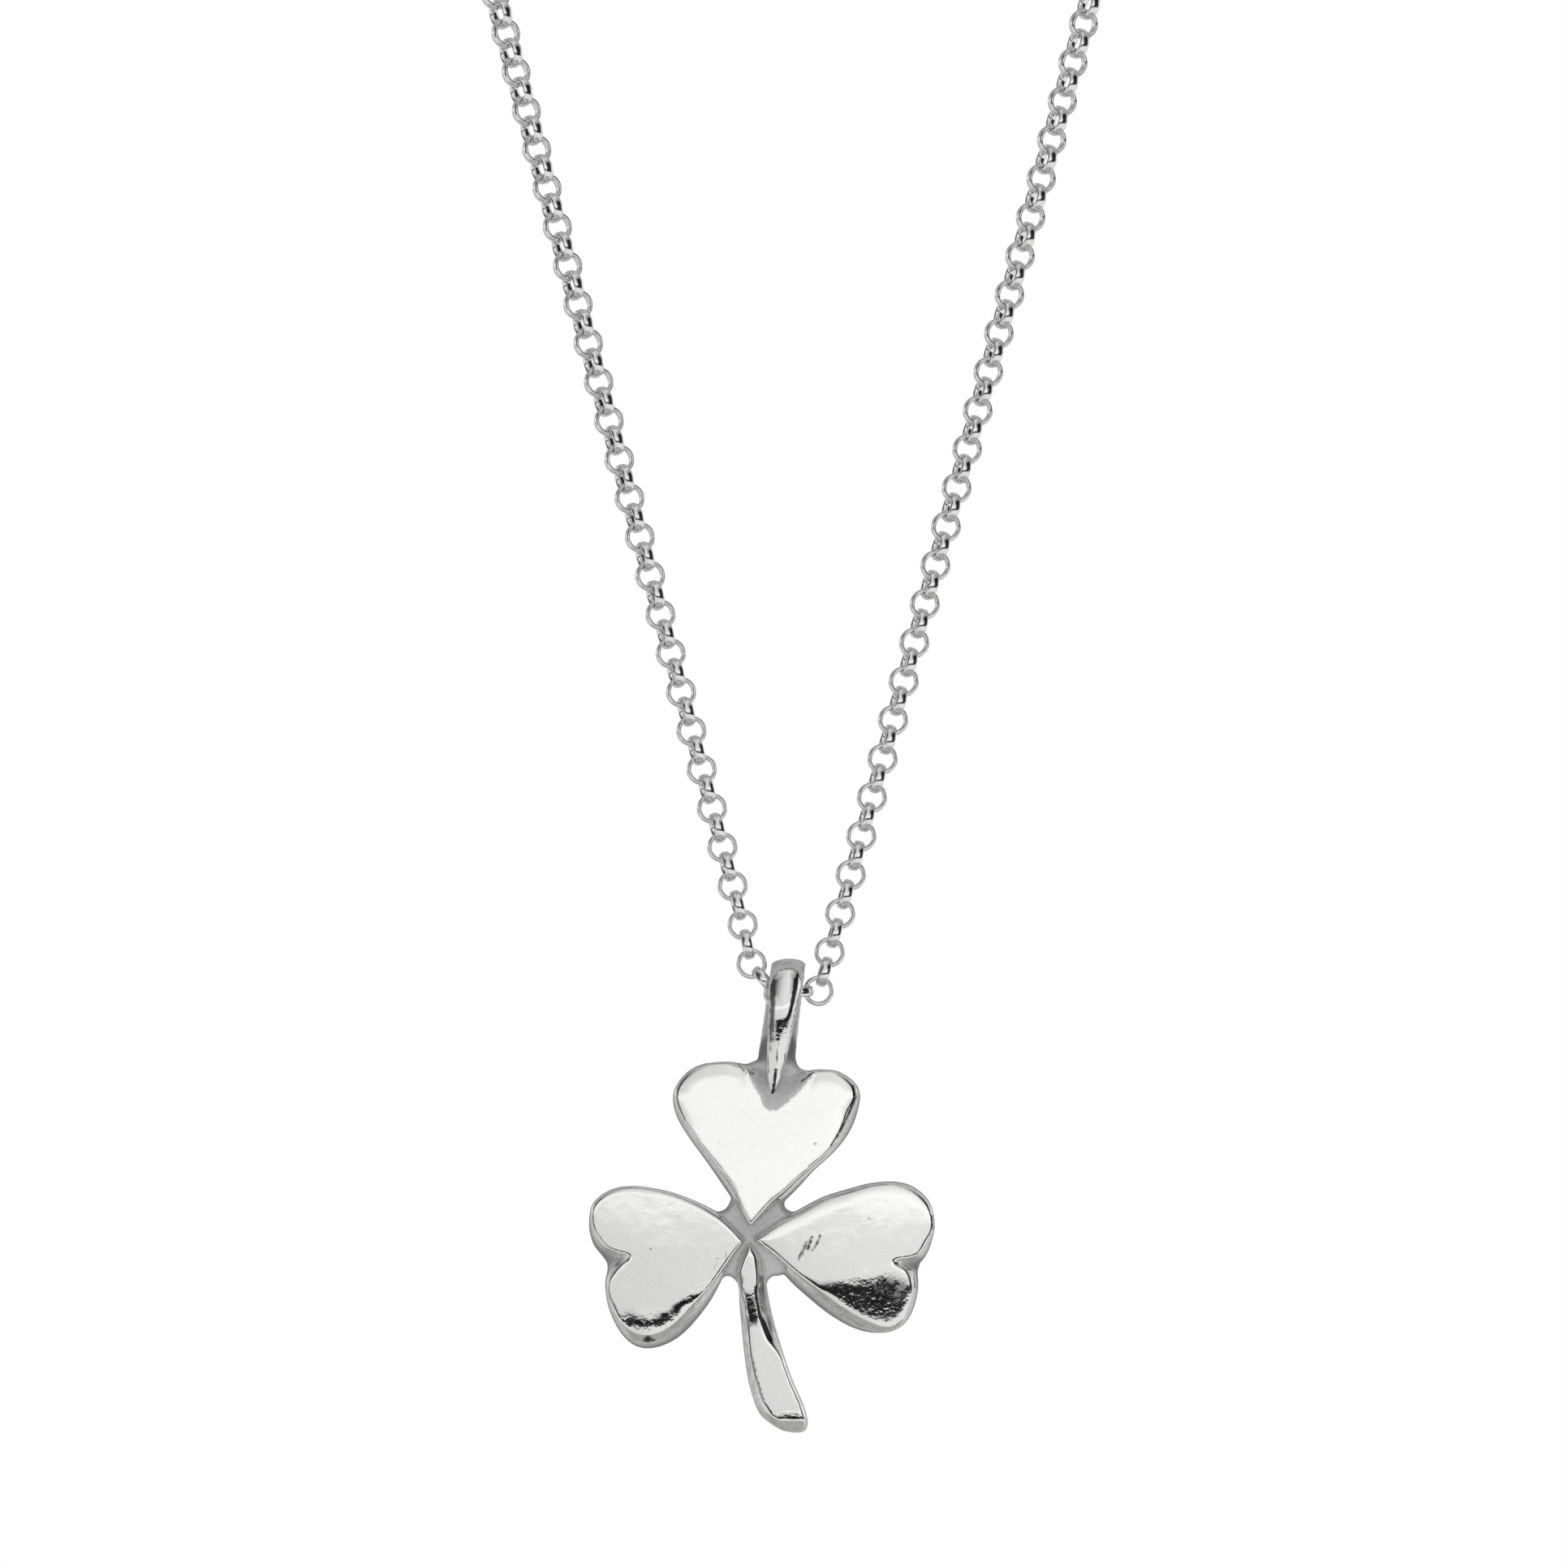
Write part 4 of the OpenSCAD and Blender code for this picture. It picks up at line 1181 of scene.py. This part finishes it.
def studio_surround():
    """White backdrop for the camera. For reflections: white boards with dark gaps between them."""
    world = bpy.data.worlds.new("studio")
    world.use_nodes = True
    bpy.context.scene.world = world
    finish = Finish(world.node_tree)
    direction = finish.node("ShaderNodeTexCoord", {}, {}, 0)
    across, along, rise = (
        finish.node("ShaderNodeSeparateXYZ", {}, {0: direction}, axis) for axis in range(3)
    )
    elevation = rise.maths("ARCSINE", rise) * DEGREES
    azimuth = across.maths("ARCTAN2", across, along * -1.0) * DEGREES
    open_share = 1.0
    for gap in STUDIO_GAPS:
        turned = abs(azimuth) if gap["both"] else azimuth
        inside = elevation.band(*gap["elevation"]) * turned.band(*gap["azimuth"])
        open_share = open_share * (1.0 - inside * gap["dark"])
    right = azimuth.step(*RIGHT_SIDE) * RIGHT_LIGHT
    eye_level = elevation.step(*EYE_LEVEL_FROM) * (1.0 - elevation.step(*EYE_LEVEL_TO))
    high = elevation.step(*HIGH_FROM) * abs(azimuth).step(*HIGH_BESIDE)
    behind = abs(azimuth).step(*BEHIND)
    light = BOARD_LIGHT + right + eye_level * EYE_LEVEL_LIGHT - high * HIGH_LOSS - behind * BEHIND_LOSS
    light = light * open_share
    seen = finish.node("ShaderNodeLightPath", {}, {}, 0)
    backdrop = finish.node("ShaderNodeBackground", {}, {0: (1.0, 1.0, 1.0, 1.0), 1: 1.0})
    boards = finish.node("ShaderNodeBackground", {}, {0: (1.0, 1.0, 1.0, 1.0), 1: light})
    shown = finish.node("ShaderNodeMixShader", {}, {0: seen, 1: boards, 2: backdrop})
    finish.node("ShaderNodeOutputWorld", {}, {0: shown})


class SCENE_OT_studio_stage(bpy.types.Operator):
    """Sets the camera, the pale floor, the soft light and the studio's surround"""

    bl_idname = "scene.studio_stage"
    bl_label = "Studio stage"

    def execute(self, context):
        settings = context.scene.studio_stage
        studio_surround()
        camera = bpy.data.cameras.new("camera")
        camera.lens = settings.lens
        camera.sensor_width = SENSOR_WIDTH
        camera.clip_start = NEAR_CLIP
        camera.clip_end = FAR_CLIP
        distance = settings.frame_width * settings.lens / camera.sensor_width
        eye = bpy.data.objects.new("camera", camera)
        eye.location = (CAMERA_X, HANG[1] * MM - distance, CAMERA_Z)
        eye.rotation_euler = (math.pi / 2, 0.0, 0.0)
        context.scene.collection.objects.link(eye)
        context.scene.camera = eye
        bm = bmesh.new()
        bmesh.ops.create_circle(bm, cap_ends=True, segments=96, radius=FLOOR_RADIUS)
        place = Matrix.Translation((0.0, HANG[1] * MM / 2, -settings.floor_depth))
        bmesh.ops.transform(bm, matrix=place, verts=bm.verts)
        material, finish = new_finish("pale_floor")
        place = finish.node("ShaderNodeTexCoord", {}, {}, 3)
        roughness = FLOOR_ROUGHNESS + finish.noise(place, FLOOR_CLOUDS, detail=2.0) * FLOOR_UNEVEN
        sockets = {"Base Color": settings.floor_colour, "Roughness": roughness}
        shader = finish.node("ShaderNodeBsdfPrincipled", {}, sockets)
        finish.node("ShaderNodeOutputMaterial", {}, {"Surface": shader})
        finished_piece("pale_floor", bm, material)
        light = bpy.data.lights.new("soft_light", "AREA")
        light.shape = "DISK"
        light.size = LAMP_SIZE
        light.energy = LAMP_ENERGY
        lamp = bpy.data.objects.new("soft_light", light)
        lamp.location = LAMP_PLACE
        aim = Vector(LAMP_AIM) - lamp.location
        lamp.rotation_euler = aim.to_track_quat("-Z", "Y").to_euler()
        context.scene.collection.objects.link(lamp)
        context.scene.view_settings.view_transform = "Standard"
        return {"FINISHED"}


class VIEW3D_PT_shamrock(bpy.types.Panel):
    """Lists what the necklace is made of"""

    bl_label = "Shamrock pendant necklace"
    bl_space_type = "VIEW_3D"
    bl_region_type = "UI"
    bl_category = "Shamrock"

    def draw(self, context):
        for operator in OPERATORS:
            self.layout.operator(operator.bl_idname)
        for owner in SETTINGS:
            box = self.layout.box()
            group = getattr(context.scene, owner)
            for name in group.bl_rna.properties.keys():
                if name not in ("rna_type", "name"):
                    box.prop(group, name)


SETTINGS = {
    "shamrock_casting": CastingSettings,
    "belcher_chain": ChainSettings,
    "bolt_ring": ClaspSettings,
    "studio_stage": StageSettings,
}
OPERATORS = (
    SCENE_OT_studio_stage,
    OBJECT_OT_shamrock_casting,
    OBJECT_OT_belcher_chain,
    OBJECT_OT_bolt_ring,
)


def register():
    for group in (*SETTINGS.values(), *OPERATORS, VIEW3D_PT_shamrock):
        bpy.utils.register_class(group)
    for owner, group in SETTINGS.items():
        setattr(bpy.types.Scene, owner, bpy.props.PointerProperty(type=group))


def unregister():
    for owner in SETTINGS:
        delattr(bpy.types.Scene, owner)
    for group in (VIEW3D_PT_shamrock, *OPERATORS, *SETTINGS.values()):
        bpy.utils.unregister_class(group)


def main():
    register()
    bpy.ops.scene.studio_stage()
    bpy.ops.object.shamrock_casting()
    bpy.ops.object.belcher_chain()
    bpy.ops.object.bolt_ring()
    bpy.context.view_layer.update()


if __name__ == "__main__":
    main()
